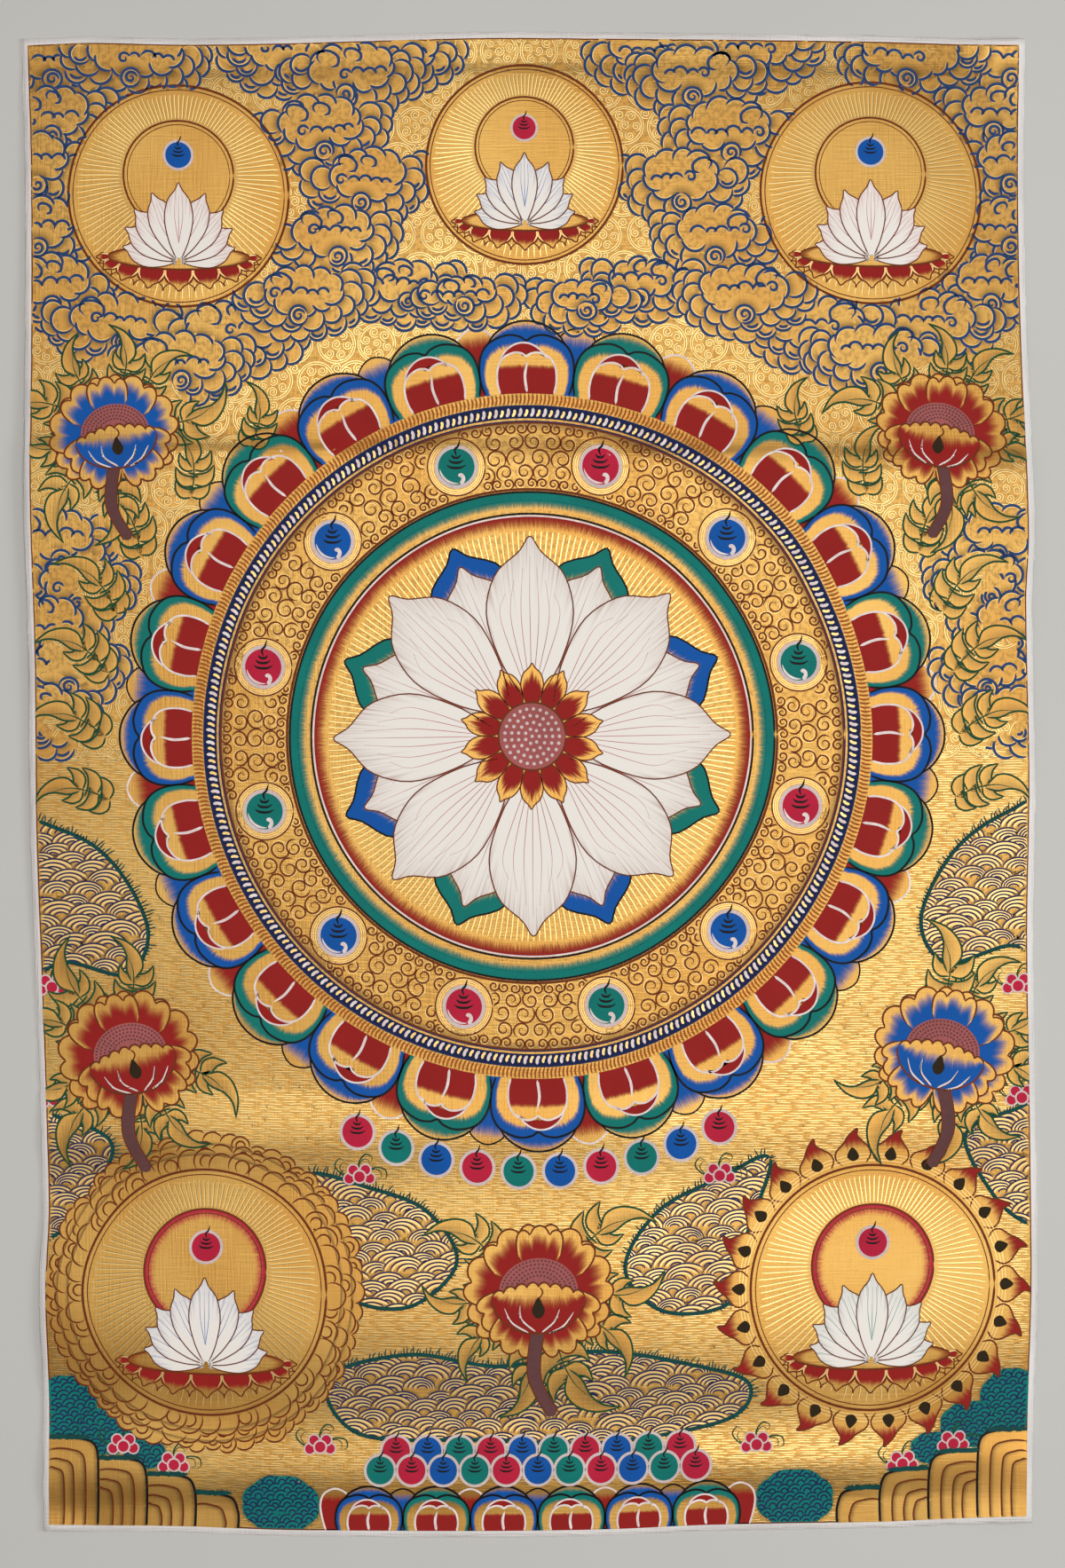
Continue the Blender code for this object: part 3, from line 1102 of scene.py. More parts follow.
def paint_clouds():
    """Scalloped heads of cloud over rows of scales. Returns their discs."""
    rng = np.random.default_rng(31)
    discs, heads = cloud_discs(rng)
    layers = Layers("cloud")
    ink = layers("lines", "line slate", "middle")
    glint = layers("glints", "lit", "fill")
    glaze = layers("glaze", "shaded", "disc")
    front = np.array(front_discs() + leaf_discs())
    lines, glints = [], []
    levels = np.full(len(discs), -1)
    for k, (x, y, radius, order, kind) in enumerate(discs):
        if kind == 0 or not on_painting(np.array([x, y]), -radius):
            continue
        spot = (x, y)
        apart = away(discs, spot) - discs[:, 2] - radius
        near = discs[(apart < 4) & (np.arange(len(discs)) != k)]
        turn = rng.uniform(0, 360)
        outline = arc(spot, radius, turn, turn + 360, 45)[:-1]
        swell = 1 + 0.035 * np.cos(np.linspace(0, 4 * math.pi, 44) + turn)
        outline = (outline - spot) * swell[:, None] + spot
        ahead = np.concatenate([near[near[:, 3] > order, :3], front])
        shown = clear_of(outline, ahead)
        same = clear_of(outline, near[near[:, 3] == order], -0.05)
        if kind == 1 and not same.all():
            overrun = same.copy()
            for step in range(1, rng.integers(3, 8)):
                overrun |= np.roll(same, step if x > 0 else -step)
            same = overrun
        shown &= same
        if kind == 3:
            whorl = spiral(spot, radius * 0.72, radius * 0.1, turn, 1.5, 30)
            lines.append((whorl, clear_of(whorl, ahead)))
        if not shown.any():
            continue
        seam = np.flatnonzero(~shown)
        if len(seam):
            outline, shown = np.roll(outline, -seam[0], 0), np.roll(shown, -seam[0])
        else:
            outline, shown = np.concatenate([outline, outline[:1]]), np.append(shown, True)
        lines.append((outline, shown))
        glints.append(((outline - spot) * (1 - 0.85 / radius) + spot, shown))
        if kind in (1, 3) or rng.random() < 0.8:
            levels[k] = min(set(range(99)) - set(levels[apart < 12]))
            lift = 0.003 + GLAZE_STEP * min(levels[k], GLAZE_LEVELS)
            shade_fold(glaze, spot, radius, order, near, front, lift)
        if kind == 2 and rng.random() < 0.34:
            inner = arc(spot, radius * 0.62, 200, 340, 15)
            lines.append((inner, clear_of(inner, near[near[:, 3] > order], 0.5) & clear_of(inner, front)))

    for x, y, wide, tall, order in heads:
        hidden_by = discs[(discs[:, 3] > order) & (away(discs, (x, y)) < 2 * wide)]
        for path in head_lines(rng, x, y, wide, tall):
            mask = clear_of(path, hidden_by, 0.4) & clear_of(path, front)
            lines.append((path, mask))
            glints.append((path + (0, -0.75), mask))
    width = settings().paint.line / MM * 1.4
    ink.cut_strokes(*zip(*lines), width, count=15, shortest=6, start=0.12, end=0.26)
    glint.cut_strokes(*zip(*glints), 0.36, count=11, shortest=6)
    layers.lay()
    return discs[clear_of(discs[:, :2], leaf_discs())]


def head_lines(rng, x, y, wide, tall):
    """Loops, a row of bumps and a whorl inside a head of cloud."""
    way = 1 if x > 0 else -1
    paths = []
    for share, rise, size in ((0.3, 0.26, 0.52), (-0.22, 0.44, 0.4))[:rng.integers(1, 3)]:
        loop = turned(curve(LOOP, 20), rng.uniform(5, 28), (0, 0), wide * size) * (way, 1)
        paths.append(loop + (x + way * wide * share, y + tall * rise))
    spot = np.array([x - way * wide * rng.uniform(0.45, 0.7), y - tall * rng.uniform(0.1, 0.45)])
    for _ in range(rng.integers(3, 6)):
        bump = rng.uniform(2.4, 4)
        paths.append(arc(spot, bump, 90 + way * 88, 90 - way * rng.uniform(70, 105), 14))
        spot = spot + (way * bump * 1.85, rng.uniform(-1.2, 1.2))
    paths.append(spiral(spot + (way * 1, 0.6), 3.2, 0.8, 90 + way * 80, -way * 1.2, 22))
    return paths


def shade_fold(glaze, centre, radius, order, near, front, lift):
    """Brown glaze on whatever lies just behind the edge of a lobe."""
    rows = np.stack([circle(centre, radius + out, 33) for out in (0, 2.6, 6)], 1)
    behind, others = near[near[:, 3] < order], near[near[:, 3] >= order]
    keep = []
    for out in (1.2, 4.2):
        spots = circle(centre, radius + out, 65)[1::2]
        covered = ~clear_of(spots, behind[:, :3], -1) & clear_of(spots, others[:, :3], out + 0.5)
        keep.append(covered & clear_of(spots, front) & on_painting(spots))
    brush = brushed(np.array([0.05, 0.5, 1]), np.linspace(0, radius * 6, 33)[:, None])
    glaze.grid(raised(rows, lift), brush, np.stack(keep, 1))


# ---- water, rocks, bushes, blossom

WAVE = 9.8                # mm, half width of a wave
WAVE_PITCH, WAVE_STEP = 16.5, 5.3            # mm between waves, and between their rows
WAVE_RISE = 0.72          # height of a wave over its half width


def paint_pool(name, outline):
    """Rows of rounded waves within a grassy shore."""
    rng = np.random.default_rng(41 + len(name))
    layers = Layers(f"pool_{name}")
    front = front_discs(-5)
    ink = layers("lines", "line indigo", "shade")
    glint = layers("glints", "lit", "low")
    glaze = layers("glaze", "shaded", "burnish")
    low, high = outline.min(0), outline.max(0)
    waves = []
    for i, y in enumerate(np.arange(high[1] + 2, low[1] - WAVE, -WAVE_STEP)):
        along = np.arange(low[0] - WAVE_PITCH, high[0] + WAVE_PITCH, WAVE_PITCH)
        for x in along + (i % 2) * WAVE_PITCH / 2:
            waves.append((x + rng.uniform(-2.4, 2.4), y + rng.uniform(-1.1, 1.1),
                          WAVE * rng.uniform(0.8, 1.25)))
    waves = np.array(waves)

    def wave(size, at):
        return arc((0, 0), size, 2, 178, 22) * (1, WAVE_RISE) + at

    paths, bands = [], []
    for k, (x, y, size) in enumerate(waves):
        near = waves[k + 1:]
        near = near[away(near, (x, y)) < near[:, 2] + size]

        def shown(points):
            """Points of this wave that show: on the pool, and not behind a nearer wave."""
            clear = inside(points, outline) & clear_of(points, front)
            for a, b, reach in near:
                away = np.hypot(points[:, 0] - a, (points[:, 1] - b) / WAVE_RISE) > reach
                clear &= away | (points[:, 1] < b - 3)
            return clear

        lean = rng.uniform(-0.45, 0.45)
        for share in (1, 0.77, 0.54, 0.31):
            middle = (x + (1 - share) * size * lean, y)
            for kept, reach in ((paths, share), (bands, share - 0.115)):
                if kept is paths or share > 0.5:
                    path = wave(size * reach, middle)
                    kept.append((path, shown(path)))
        rows = np.stack([wave(size + out, (x, y)) for out in (0, 1.6, 3.2)], 1)
        clear = shown(rows[:, 1]) & shown(rows[:, 2])
        keep = (clear[:-1] & clear[1:])[:, None] & np.ones((1, 2), bool)
        brush = brushed(np.array([0.1, 0.5, 1]), np.linspace(0, 36, 22)[:, None])
        glaze.grid(raised(rows, 0.007 * (k % 7)), brush, keep)
    glint.cut_strokes(*zip(*bands), 1, count=11, **SOFT)
    ink.cut_strokes(*zip(*paths), 0.78, count=13, start=0.12, end=0.12)
    edge = np.concatenate([outline, outline[:1]])
    shore = layers("shore", "line moss", "fill")
    shore.cut_strokes([edge], [clear_of(edge, front)], 2, count=260, start=0.01, end=0.01)
    blades = []
    run = resampled(edge, int(run_along(edge)[-1] / 1.6))
    for spot, out in zip(run, outwards(run)):
        if on_painting(spot) and clear_of([spot], front)[0] and rng.random() < 0.9:
            out = out * rng.uniform(1.6, 4.4) * (1 if out[1] > -0.3 else 0.5)
            tall = np.hypot(*out)
            lean = np.array([rng.uniform(-0.4, 1.2), 0.25])
            blades.append(curve([spot, spot + out * 0.5 + lean * 0.3, spot + out + lean * tall * 0.6], 5))
    shore.strokes(blades, 0.75, start=0.05)
    layers.lay()


def outwards(path):
    """Directions that point out of a closed path."""
    along = np.gradient(path, axis=0)
    out = np.column_stack([along[:, 1], -along[:, 0]])
    out /= np.maximum(np.hypot(*out.T), 1e-9)[:, None]
    if inside(path[:1] + out[:1] * 0.5, path)[0]:
        out = -out
    return out


def paint_rocks():
    """Stepped rocks of rounded strata with mossy tops, in the lower corners."""
    rng = np.random.default_rng(51)
    layers = Layers("rock")
    black = layers("lines", "line black", "line")
    brown = layers("strata", "line brown", "line")
    moss = layers("moss", "line moss", "tip")
    stone = layers("stone", "plain", "middle")
    glaze = layers("glaze", "shaded", "over")
    for flip, (start, end, top) in [((side, 1), rock) for side in (1, -1) for rock in ROCKS]:
        up = np.linspace(FOOT, top, 14)
        near = np.clip((up - top + 8) / 8, 0, 1) ** 2 * 6
        stone.between(np.column_stack([up * 0 + start, up]) * flip,
                      np.column_stack([end - near, up]) * flip, cells=7)
        for k, inset in enumerate((0, 6.5, 12.5, 17.5)):
            right, high, bend = end - inset, top - inset * 0.85, 8 - inset * 0.2
            if right - start < 4 or high - bend < FOOT + 4:
                continue
            path = curve([(right, FOOT), (right + 0.4, (high - bend + FOOT) / 2), (right, high - bend),
                          (right - bend * 0.3, high - bend * 0.25), (right - bend, high),
                          ((start + right - bend) / 2, high + 0.6), (start, high)], 40)
            ink, width = (brown, 0.9) if inset else (black, 1.25)
            ink.stroke(path * flip, width, start=0.02, end=0.05)
            glaze.between(path * flip, (path - (3.2, 1.4)) * flip, cells=2, lift=0.013 * k)
        crest = np.column_stack([np.linspace(start, end - 3, 18), np.full(18, top + 0.8)]) * flip
        moss.stroke(crest + rng.normal(0, 0.2, crest.shape), 2.4, start=0.05, end=0.2)
        for spot in resampled(crest, 20):
            moss.stroke([spot, spot + (rng.uniform(-0.6, 0.6), rng.uniform(1.4, 2.6))], 0.8, start=0.05)
    layers.lay()


def paint_bush(name, x, y, wide, tall, lift):
    """A bush: one teal mass, small dark scales and a hairy edge."""
    rng = np.random.default_rng(int(abs(x)) + (3 if x > 0 else 0))
    layers = Layers(f"bush_{name}")
    angles = np.linspace(0, math.tau, 73)[:-1]
    rim = 1 + 0.05 * np.abs(np.sin(angles * 4)) - 0.03
    outline = np.column_stack([x + wide * rim * np.cos(angles), y + tall * rim * np.sin(angles)])
    layers("mass", "pigment teal", "disc").star(outline, (x, y), rings=5, lift=lift)
    ink = layers("lines", "line indigo", "disc")
    scales = [(x + across + (row % 2) * 2.9, y + tall - row * 3.9, 3.8)
              for row in range(int(tall / 1.9) + 1) for across in np.arange(-wide, wide, 5.8)]
    scales = np.array(scales) + rng.uniform(-0.35, 0.35, (len(scales), 3))
    paths = [arc((a, b), radius * share, -20, 200, 15) for a, b, radius in scales for share in (1, 0.45)]
    masks = [clear_of(path, scales[k // 2 + 1:]) & inside(path, outline) for k, path in enumerate(paths)]
    ink.cut_strokes(paths, masks, 0.85, count=8, **SOFT, lift=lift + 0.02)
    hairs = layers("hairs", "line moss", "disc")
    for spot in resampled(np.concatenate([outline, outline[:1]]), int(wide + tall) * 5):
        out = (spot - (x, y)) / np.hypot(*(spot - (x, y)))
        tip = spot + out * rng.uniform(0.8, 1.7) + rng.uniform(-0.5, 0.5, 2)
        hairs.stroke([spot - out * 0.6, tip], 0.7, start=0.05, lift=lift + 0.04)
    layers.lay()


# A curled leaf 1 long, and the petals of a blossom: across, up, radius.
HOOK = ((0.1, 0), (0.55, 0.16), (0.95, 0), (0.92, -0.3), (0.7, -0.3))
BLOSSOM = ((-5.2, -0.6, 3.2), (5.2, -0.4, 3.2), (-3.1, 3.8, 3.2), (3.2, 3.9, 3.2), (0.1, 0.4, 3.6))


def paint_blossoms():
    """Clusters of small crimson blossom with curled leaves."""
    layers = Layers("blossom")
    for spot in [np.array([x * side, y - side]) for x, y in BLOSSOMS for side in (-1, 1)]:
        for turn, size in ((155, 12.5), (75, 11), (18, 12.5)):
            hook = turned(curve(HOOK, 14), turn, spot, size * 1.15)
            hooks = layers("hooks", "line leaf", "fill")
            hooks.stroke(hook, 0.8, start=0.1)
            hooks.stroke((hook - spot) * 0.8 + spot, 0.5, start=0.1)
        for k, (a, b, radius) in enumerate(BLOSSOM):
            layers("rims", "pigment rim", "middle").disc(spot + (a, b), radius, 18, lift=0.03 * k)
            layers("petals", "pigment crimson", "middle").disc(
                spot + (a, b), radius * 0.76, 16, lift=0.03 * k + 0.015)
    layers.lay()


# ---- petals

def mirrored(half):
    """A symmetrical outline from its left half, which ends in the middle."""
    return half + tuple((-x, y) for x, y in half[-2::-1])


POINTED = mirrored((
    (-0.1, 0), (-0.34, 0.22), (-0.5, 0.52), (-0.4, 0.78), (-0.13, 0.93), (0, 1.03)))
# The body of a seat petal, with its notched shoulder, and the cap that rises behind it.
SEAT_BODY = mirrored((
    (-0.47, 0), (-0.505, 0.22), (-0.48, 0.5), (-0.38, 0.7), (-0.2, 0.795), (-0.07, 0.775),
    (0, 0.72)))
SEAT_SHOULDER = SEAT_BODY[3:10]
SEAT_CAP = mirrored(((-0.4, 0.67), (-0.3, 0.83), (-0.15, 0.95), (0, 0.985)))
SEAT_LEAF = mirrored(((-0.3, 0), (-0.42, 0.3), (-0.48, 0.62), (-0.36, 0.88), (0, 1)))


def shape(table, width, height, count=33):
    return curve(np.array(table) * (width, height), count)


def fill_petal(layer, outline, bend, cells=6, lift=0):
    """Fills an open petal: brush x is 0 at its root and 1 at its outline."""
    root = outline * (0.35, 0) + (0, outline[0, 1])
    layer.between(bend(root), bend(outline), cells=cells, lift=lift)


def around_line(centre, degrees, radius):
    """Maps petals, unbent, to stand out of a centre: x to the right, y outwards."""
    def bend(path):
        path = np.asarray(path, float) + (0, radius)
        return turned(path, degrees - 90, centre)
    return bend


def seat_leaf(layers, bend, width, height, shade):
    """A small petal that shows between two seat petals."""
    leaf = shape(SEAT_LEAF, width, height)
    layers(f"{shade}_leaves", f"bloom {shade}", "low").upright(leaf, bend, cells=4)
    part, finish, line = (("leaf_rims", "line rim", 0.95) if shade == "brick"
                          else ("leaf_lines", "line black", 0.85))
    layers(part, finish, "shade").stroke(bend(leaf), line, **EVEN)


def seat_petal(layers, bend, width, height, shade):
    """A broad petal: coloured band and cap, gold, and a red heart with pale rims."""
    line = settings().paint.line / MM
    black = layers("black_lines", "line black", "line")
    pale = layers("pale_lines", "line rim", "line")
    body, cap = shape(SEAT_BODY, width, height, 49), shape(SEAT_CAP, width, height, 25)
    fill_petal(layers(f"{shade}_petals", f"edge {shade}", "fill"), body, bend, cells=9)
    hump = shape(SEAT_SHOULDER, width, height, 25)
    layers(f"{shade}_caps", f"cap {shade}", "fill").between(bend(hump), bend(cap), cells=3)
    black.stroke(bend(body), line, **EVEN)
    black.stroke(bend(cap), line, **SOFT)
    wide, tall = width * 0.64, height * 0.7
    heart = shape(SEAT_BODY, wide, tall, 41)
    crest, low = (shape(np.array(table) * (0.95, 1) + (-0.05, 0), wide, tall, 21)
                  for table in (SEAT_CAP, SEAT_SHOULDER))
    layers("hearts", "bold brick", "middle").upright(heart, bend, cells=6)
    layers("crests", "pigment brick", "middle").between(bend(low), bend(crest), cells=2)
    pale.stroke(bend(heart), 1, **EVEN)
    pale.stroke(bend(crest), 0.9, **SOFT)
    stalk = curve([(0, 0.5), (-0.02 * width, height * 0.24), (0.012 * width, height * 0.44)], 9)
    pale.stroke(bend(stalk), 1.35, start=0.02, end=0.3)


PETALS, PETAL_FOOT, PETAL_RIM = 24, 172, WHEEL_RADIUS + 1
# Bands inside the rope and the scrolls. Columns: part, finish, inner and outer radius.
WHEEL_BANDS = (
    ("teal_ring", "pigment teal", 118.2, 122.2), ("teal_fade", "soft teal", 113.6, 118.4),
    ("red_ring", "soft brick", 103, 110.2),
)
WHEEL_RAYS = 220


def paint_wheel():
    """The lotus wheel: petals, hatching, rope, scrolls, rings, rays and white lotus."""
    line = settings().paint.line / MM
    layers = Layers("wheel")
    black = layers("black_lines", "line black", "line")
    brown = layers("brown_lines", "line brown", "line")
    pale = layers("pale_lines", "line rim", "line")
    step, rise = 360 / PETALS, PETAL_RIM - PETAL_FOOT
    width = math.tau * PETAL_FOOT / PETALS * 0.99
    for k in range(PETALS):
        seat_leaf(layers, around(WHEEL, (k + 0.5) * step + 90, PETAL_FOOT), width * 0.44, rise * 0.93,
                  "blue" if k % 2 else "brick")
    for k in range(PETALS):
        seat_petal(layers, around(WHEEL, k * step + 90, PETAL_FOOT), width, rise,
                   "teal" if k % 2 else "blue")
    hatch_band(layers, 166, PETAL_FOOT)
    paint_rope(layers, 159.5, 165.6)
    paint_scroll_band(layers, 124, 157.4)
    for part, finish, inner, outer in WHEEL_BANDS:
        layers(part, finish, "fill").band(WHEEL, inner, outer, 241, cells=3)
    for radius, wide, layer in ((123.6, 0.8, brown), (122.5, line, black), (111.6, line, black),
                                (110.5, 0.8, pale)):
        layer.ring(WHEEL, radius, wide, 301)
    ways = [np.array([math.cos(a), math.sin(a)]) for a in np.arange(WHEEL_RAYS) * math.tau / WHEEL_RAYS]
    layers("rays", "burnish", "burnish").strokes(
        [WHEEL + np.linspace(52, 104, 12)[:, None] * way for way in ways], 0.8, start=0.01, end=0.01)
    paint_lotus(layers)
    layers.lay()


def hatch_band(layers, inner, outer):
    """A narrow band of orange-brown hatching."""
    hatch, count = curve([(0, 0.2), (0.9, 3), (0.7, outer - inner)], 5), 520
    layers("hatching", "line orange", "line").strokes(
        [around(WHEEL, k * 360 / count, inner)(hatch) for k in range(count)], 0.95, start=0.02, end=0.05)


def paint_rope(layers, inner, outer):
    """A dark blue band crossed by slanted pale blocks, between thin lines."""
    indigo = layers("rope_lines", "line indigo", "line")
    layers("rope_ground", "pigment indigo", "fill").band(WHEEL, inner, outer, 241, cells=2)
    indigo.ring(WHEEL, inner - 1.4, 0.6, 301)
    indigo.ring(WHEEL, outer + 0.2, 0.8, 301)
    count, tall = 330, outer - inner
    blocks = [around(WHEEL, k * 360 / count, inner)(
        curve([(0, 0.9), (1.2, tall * 0.45), (1.3, tall - 0.8 - 0.7 * (k % 2))], 6)) for k in range(count)]
    layers("rope_blocks", "line rim", "line").strokes(blocks[0::2], 1.55, start=0.02, end=0.15)
    layers("rope_gold", "lit", "line").strokes(blocks[1::2], 1.35, start=0.02, end=0.15)


def paint_scroll_band(layers, inner, outer):
    """Packed scrolls in red-brown lines round twelve jewels."""
    brown = layers("scroll_lines", "line brown", "middle")
    relief = layers("scroll_relief", "lit", "low")
    layers("scroll_glaze", "shaded", "low").band(WHEEL, outer, outer - 6, 241, cells=2)
    rng = np.random.default_rng(61)
    middle, jewels, jewel = (inner + outer) / 2 - 0.5, 12, 10.2
    places = arc(WHEEL, middle, 75, 435, jewels + 1)[:-1]
    discs = [(*spot, jewel * 1.42) for spot in places]
    lines, arcs = [], []
    for row, (radius, size) in enumerate(((outer - 3, 2.7), (outer - 9.6, 4.3), (middle - 0.6, 5.2),
                                          (inner + 8.6, 4.3), (inner + 2.9, 2.6))):
        count = int(math.tau * radius / (size * 2.16))
        for k in range(count):
            angle = (k + 0.5 * (row % 2)) * 360 / count
            spot = polar(WHEEL, radius, angle + rng.uniform(-0.2, 0.2))
            way = 1 if (k + row) % 2 else -1
            start = angle + (95 if row < 2 else -85) * way + rng.uniform(-25, 25)
            if not clear_of([spot], discs, size * 0.25)[0]:
                continue
            tail = arc(spot, size * 1.02, start, start - 62 * way, 8)[:0:-1]
            scroll = np.concatenate([tail, spiral(spot, size, size * 0.2, start, 1.35 * way, 26)])
            lines.append((scroll, clear_of(scroll, discs, 0.6)))
            for grow in (0.8, 0.6):
                part = arc(spot, size * grow, start + 20, start + 320, 18)
                arcs.append((part, clear_of(part, discs)))
    brown.cut_strokes(*zip(*lines), 0.88, count=20, start=0.12, end=0.25)
    relief.cut_strokes(*zip(*arcs), 0.34, count=12)
    brown.ring(WHEEL, outer, 1, 301)
    brown.ring(WHEEL, inner, 0.9, 301)
    for k, spot in enumerate(places):
        for grow in (1.16, 1.26, 1.36):
            relief.ring(spot, jewel * grow, 0.42, 49)
        brown.ring(spot, jewel * 1.42, 0.8, 49)
        paint_jewel(layers, spot, jewel, ("crimson", "teal", "blue")[k % 3])


def paint_jewel(layers, spot, radius, shade, curled=True, lift=0):
    """A jewel: pale rim, flat colour, bowed lines with a stalk, and a pale curl."""
    layers("jewel_rims", "pigment rim", "middle").disc(spot, radius * 1.08, 44, 3, lift)
    layers(f"{shade}_jewels", f"pigment {shade}", "over").disc(spot, radius * 0.9, 40, 3, lift)
    ink = layers("jewel_lines", "line black", "line")
    for y, half in ((0.5, 0.24), (0.26, 0.38), (0, 0.48)):
        bow = curve([(-half, y + 0.1), (-half * 0.5, y - 0.04), (half * 0.4, y - 0.05),
                     (half, y + 0.09)], 13)
        ink.stroke(bow * radius + spot, radius * 0.12, lift=lift)
    stalk = curve([(0.02, 0.52), (-0.06, 0.84), (0.1, 1.02), (0.2, 1.36)], 9)
    ink.stroke(stalk * radius + spot, radius * 0.11, lift=lift)
    if curled:
        pale = layers("jewel_curls", "line rim", "line")
        pale.stroke(arc(spot, radius * 0.82, 188, 278, 16), radius * 0.11, start=0.3, end=0.3)
        curl = curve([(0.2, -0.86), (0.34, -0.62), (0.26, -0.42), (0.08, -0.44)], 11)
        pale.stroke(curl * radius + spot, radius * 0.19, start=0.05, end=0.1)


def paint_lotus(layers):
    """The white lotus in the middle of the wheel."""
    brown = layers("lotus_lines", "line brown", "line")
    back_brown = layers("lotus_back_lines", "line brown", "middle")
    veins = layers("lotus_veins", "line rose", "line")
    black = layers("lotus_black_lines", "line black", "shade")
    for k in range(8):
        shade = "teal" if k % 2 else "blue"
        bend = around_line(WHEEL, k * 45 + 22.5, 34)
        outer = shape(POINTED, 46, 66)
        fill_petal(layers(f"lotus_{shade}", f"edge {shade}", "low"), outer, bend, cells=9)
        black.stroke(bend(outer), 0.95, **EVEN)
    for ring, (offset, root, width, height, level) in enumerate((
            (22.5, 24, 38, 66, "fill"), (0, 20, 44, 78, "over"))):
        for k in range(8):
            bend = around_line(WHEEL, k * 45 + offset, root)
            outer = shape(POINTED, width, height, 45)
            fill_petal(layers(f"white_petals_{ring}", "flush orange", level), outer, bend, cells=10)
            (brown if ring else back_brown).stroke(bend(outer), 0.66, **EVEN)
            mine = veins if ring else layers("lotus_back_veins", "line rose", "middle")
            for lean in (-0.34, -0.22, -0.1, 0, 0.1, 0.22, 0.34) if ring else (-0.2, 0, 0.2):
                vein = curve([(lean * width * 0.3, 8), (lean * width, height * 0.5),
                              (lean * width * 0.82, height * (0.9 - abs(lean) * 0.7))], 12)
                mine.stroke(bend(vein), 0.3, start=0.1, end=0.6)
    small = shape(POINTED, 11.5, 22)
    for k in range(14):
        bend = around_line(WHEEL, k * 360 / 14 + 12, 14)
        fill_petal(layers("heart_petals", "core brick", "line"), small, bend, lift=0.02 * (k % 2))
        layers("heart_lines", "line brown", "tip").stroke(bend(small), 0.66, **EVEN)
    layers("heart", "pigment rose", "tip").disc(WHEEL, 17, 60, rings=5, lift=0.05)
    layers("heart_rings", "line brown", "tip").ring(WHEEL, 17, 0.9, 61, lift=0.1)
    seeds = layers("seeds", "pigment rim", "tip")
    for radius, count in ((0, 1), (3.6, 7), (7, 13), (10.4, 19), (13.8, 25)):
        for k in range(count):
            seeds.disc(polar(WHEEL, radius, k * 360 / count), 0.9, 8, lift=0.12)


# ---- medallions

# A hanging petal of a medallion's seat, for a half width and a length of 1.
SEAT_FALL = mirrored(((-1, 0), (-1, 0.3), (-0.82, 0.58), (-0.34, 0.76), (0, 1)))
FLAME = (
    (-0.4, 0), (-0.56, 0.2), (-0.5, 0.42), (-0.22, 0.62), (-0.06, 0.8), (0.22, 1),
    (0.2, 0.8), (0.34, 0.62), (0.52, 0.42), (0.56, 0.2), (0.4, 0),
)
FLAME_SEED = ((-2.9, 3.6), (-0.4, 1.2), (2.7, 2.6), (2.4, 5.2), (0.4, 8.2), (-1.6, 6.6))
FLAMES = 22


def flame_ring(layers, spot, radius):
    """Red-tipped gold flames with dark seeds, standing on a ring."""
    layers("flame_ground", "plain", "middle").band(spot, radius + 0.7, radius + 6.5, 121, cells=3)
    for out in (2.6, 4.2, 5.8):
        layers("flame_relief", "lit", "over").ring(spot, radius + out, 0.4)
    flame = shape(FLAME, 15, 17.5, 33)
    seed = closed_curve(FLAME_SEED, 24)
    for k in range(FLAMES):
        bend = around(spot, (k + 0.5) * 360 / FLAMES + 90, radius + 1.5)
        layers("flames", "flame brick", "middle").upright(flame, bend, cells=3, lift=0.02)
        layers("flame_lines", "line brown", "over").stroke(bend(flame), 0.85, **EVEN)
        layers("flame_seeds", "pigment umber", "over").star(bend(seed), bend([0, 4]), 1, 0.02)


def scallop_ring(layers, spot, radius):
    """Rows of gold scallops in brown lines, packed round a ring."""
    rng = np.random.default_rng(71)
    discs, lines = [(*spot, radius)], []
    for row, (out, size) in enumerate(((3, 6.4), (8.5, 6), (13.5, 5.2))):
        count = int(math.tau * (radius + out) / (size * 1.45))
        for k in range(count):
            angle = (k + 0.5 * (row % 2)) * 360 / count + rng.uniform(-1.2, 1.2)
            at = polar(spot, radius + out + rng.uniform(-1.3, 1.3), angle)
            reach = size * rng.uniform(0.85, 1.15)
            for share in (1, 0.5) if rng.random() < 0.35 else (1,):
                path = arc(at, reach * share, angle - 150, angle + 150, 30)
                lines.append((path, clear_of(path, discs)))
            discs.append((*at, reach))
    front = [(x, y, size * 0.9) for _, x, y, size, _, _ in FLOWERS]
    lines = [(path, shown & clear_of(path, front)) for path, shown in lines]
    # The ground reaches as far out, in each direction, as the scallop that reaches furthest.
    ways = circle((0, 0), 1, 361)
    offsets, reaches = np.array(discs)[1:, :2] - spot, np.array(discs)[1:, 2]
    beside = np.abs(ways[:, :1] * offsets[:, 1] - ways[:, 1:] * offsets[:, 0])
    far = (ways @ offsets.T) + np.sqrt(np.maximum(reaches ** 2 - beside ** 2, 0))
    rim = np.where(beside < reaches, far, 0).max(1)[:, None]
    layers("scallop_ground", "plain", "middle").between(
        circle(spot, radius + 0.7, 361), spot + ways * rim, cells=5)
    layers("scallops", "line brown", "over").cut_strokes(
        *zip(*lines), 0.9, count=12, start=0.15, end=0.25)
    for out, wide in ((7.2, 2.6), (12.6, 2.4)):
        layers("scallop_glaze", "shaded", "middle").band(
            spot, radius + out, radius + out + wide, 121, cells=2, lift=0.025)


SEAT_PETALS = 9
BLOOM_LEANS = (-78, 78, -60, 60, -42, 42, -22, 22, 0)    # degrees, from the back
DISC_RAYS = 110


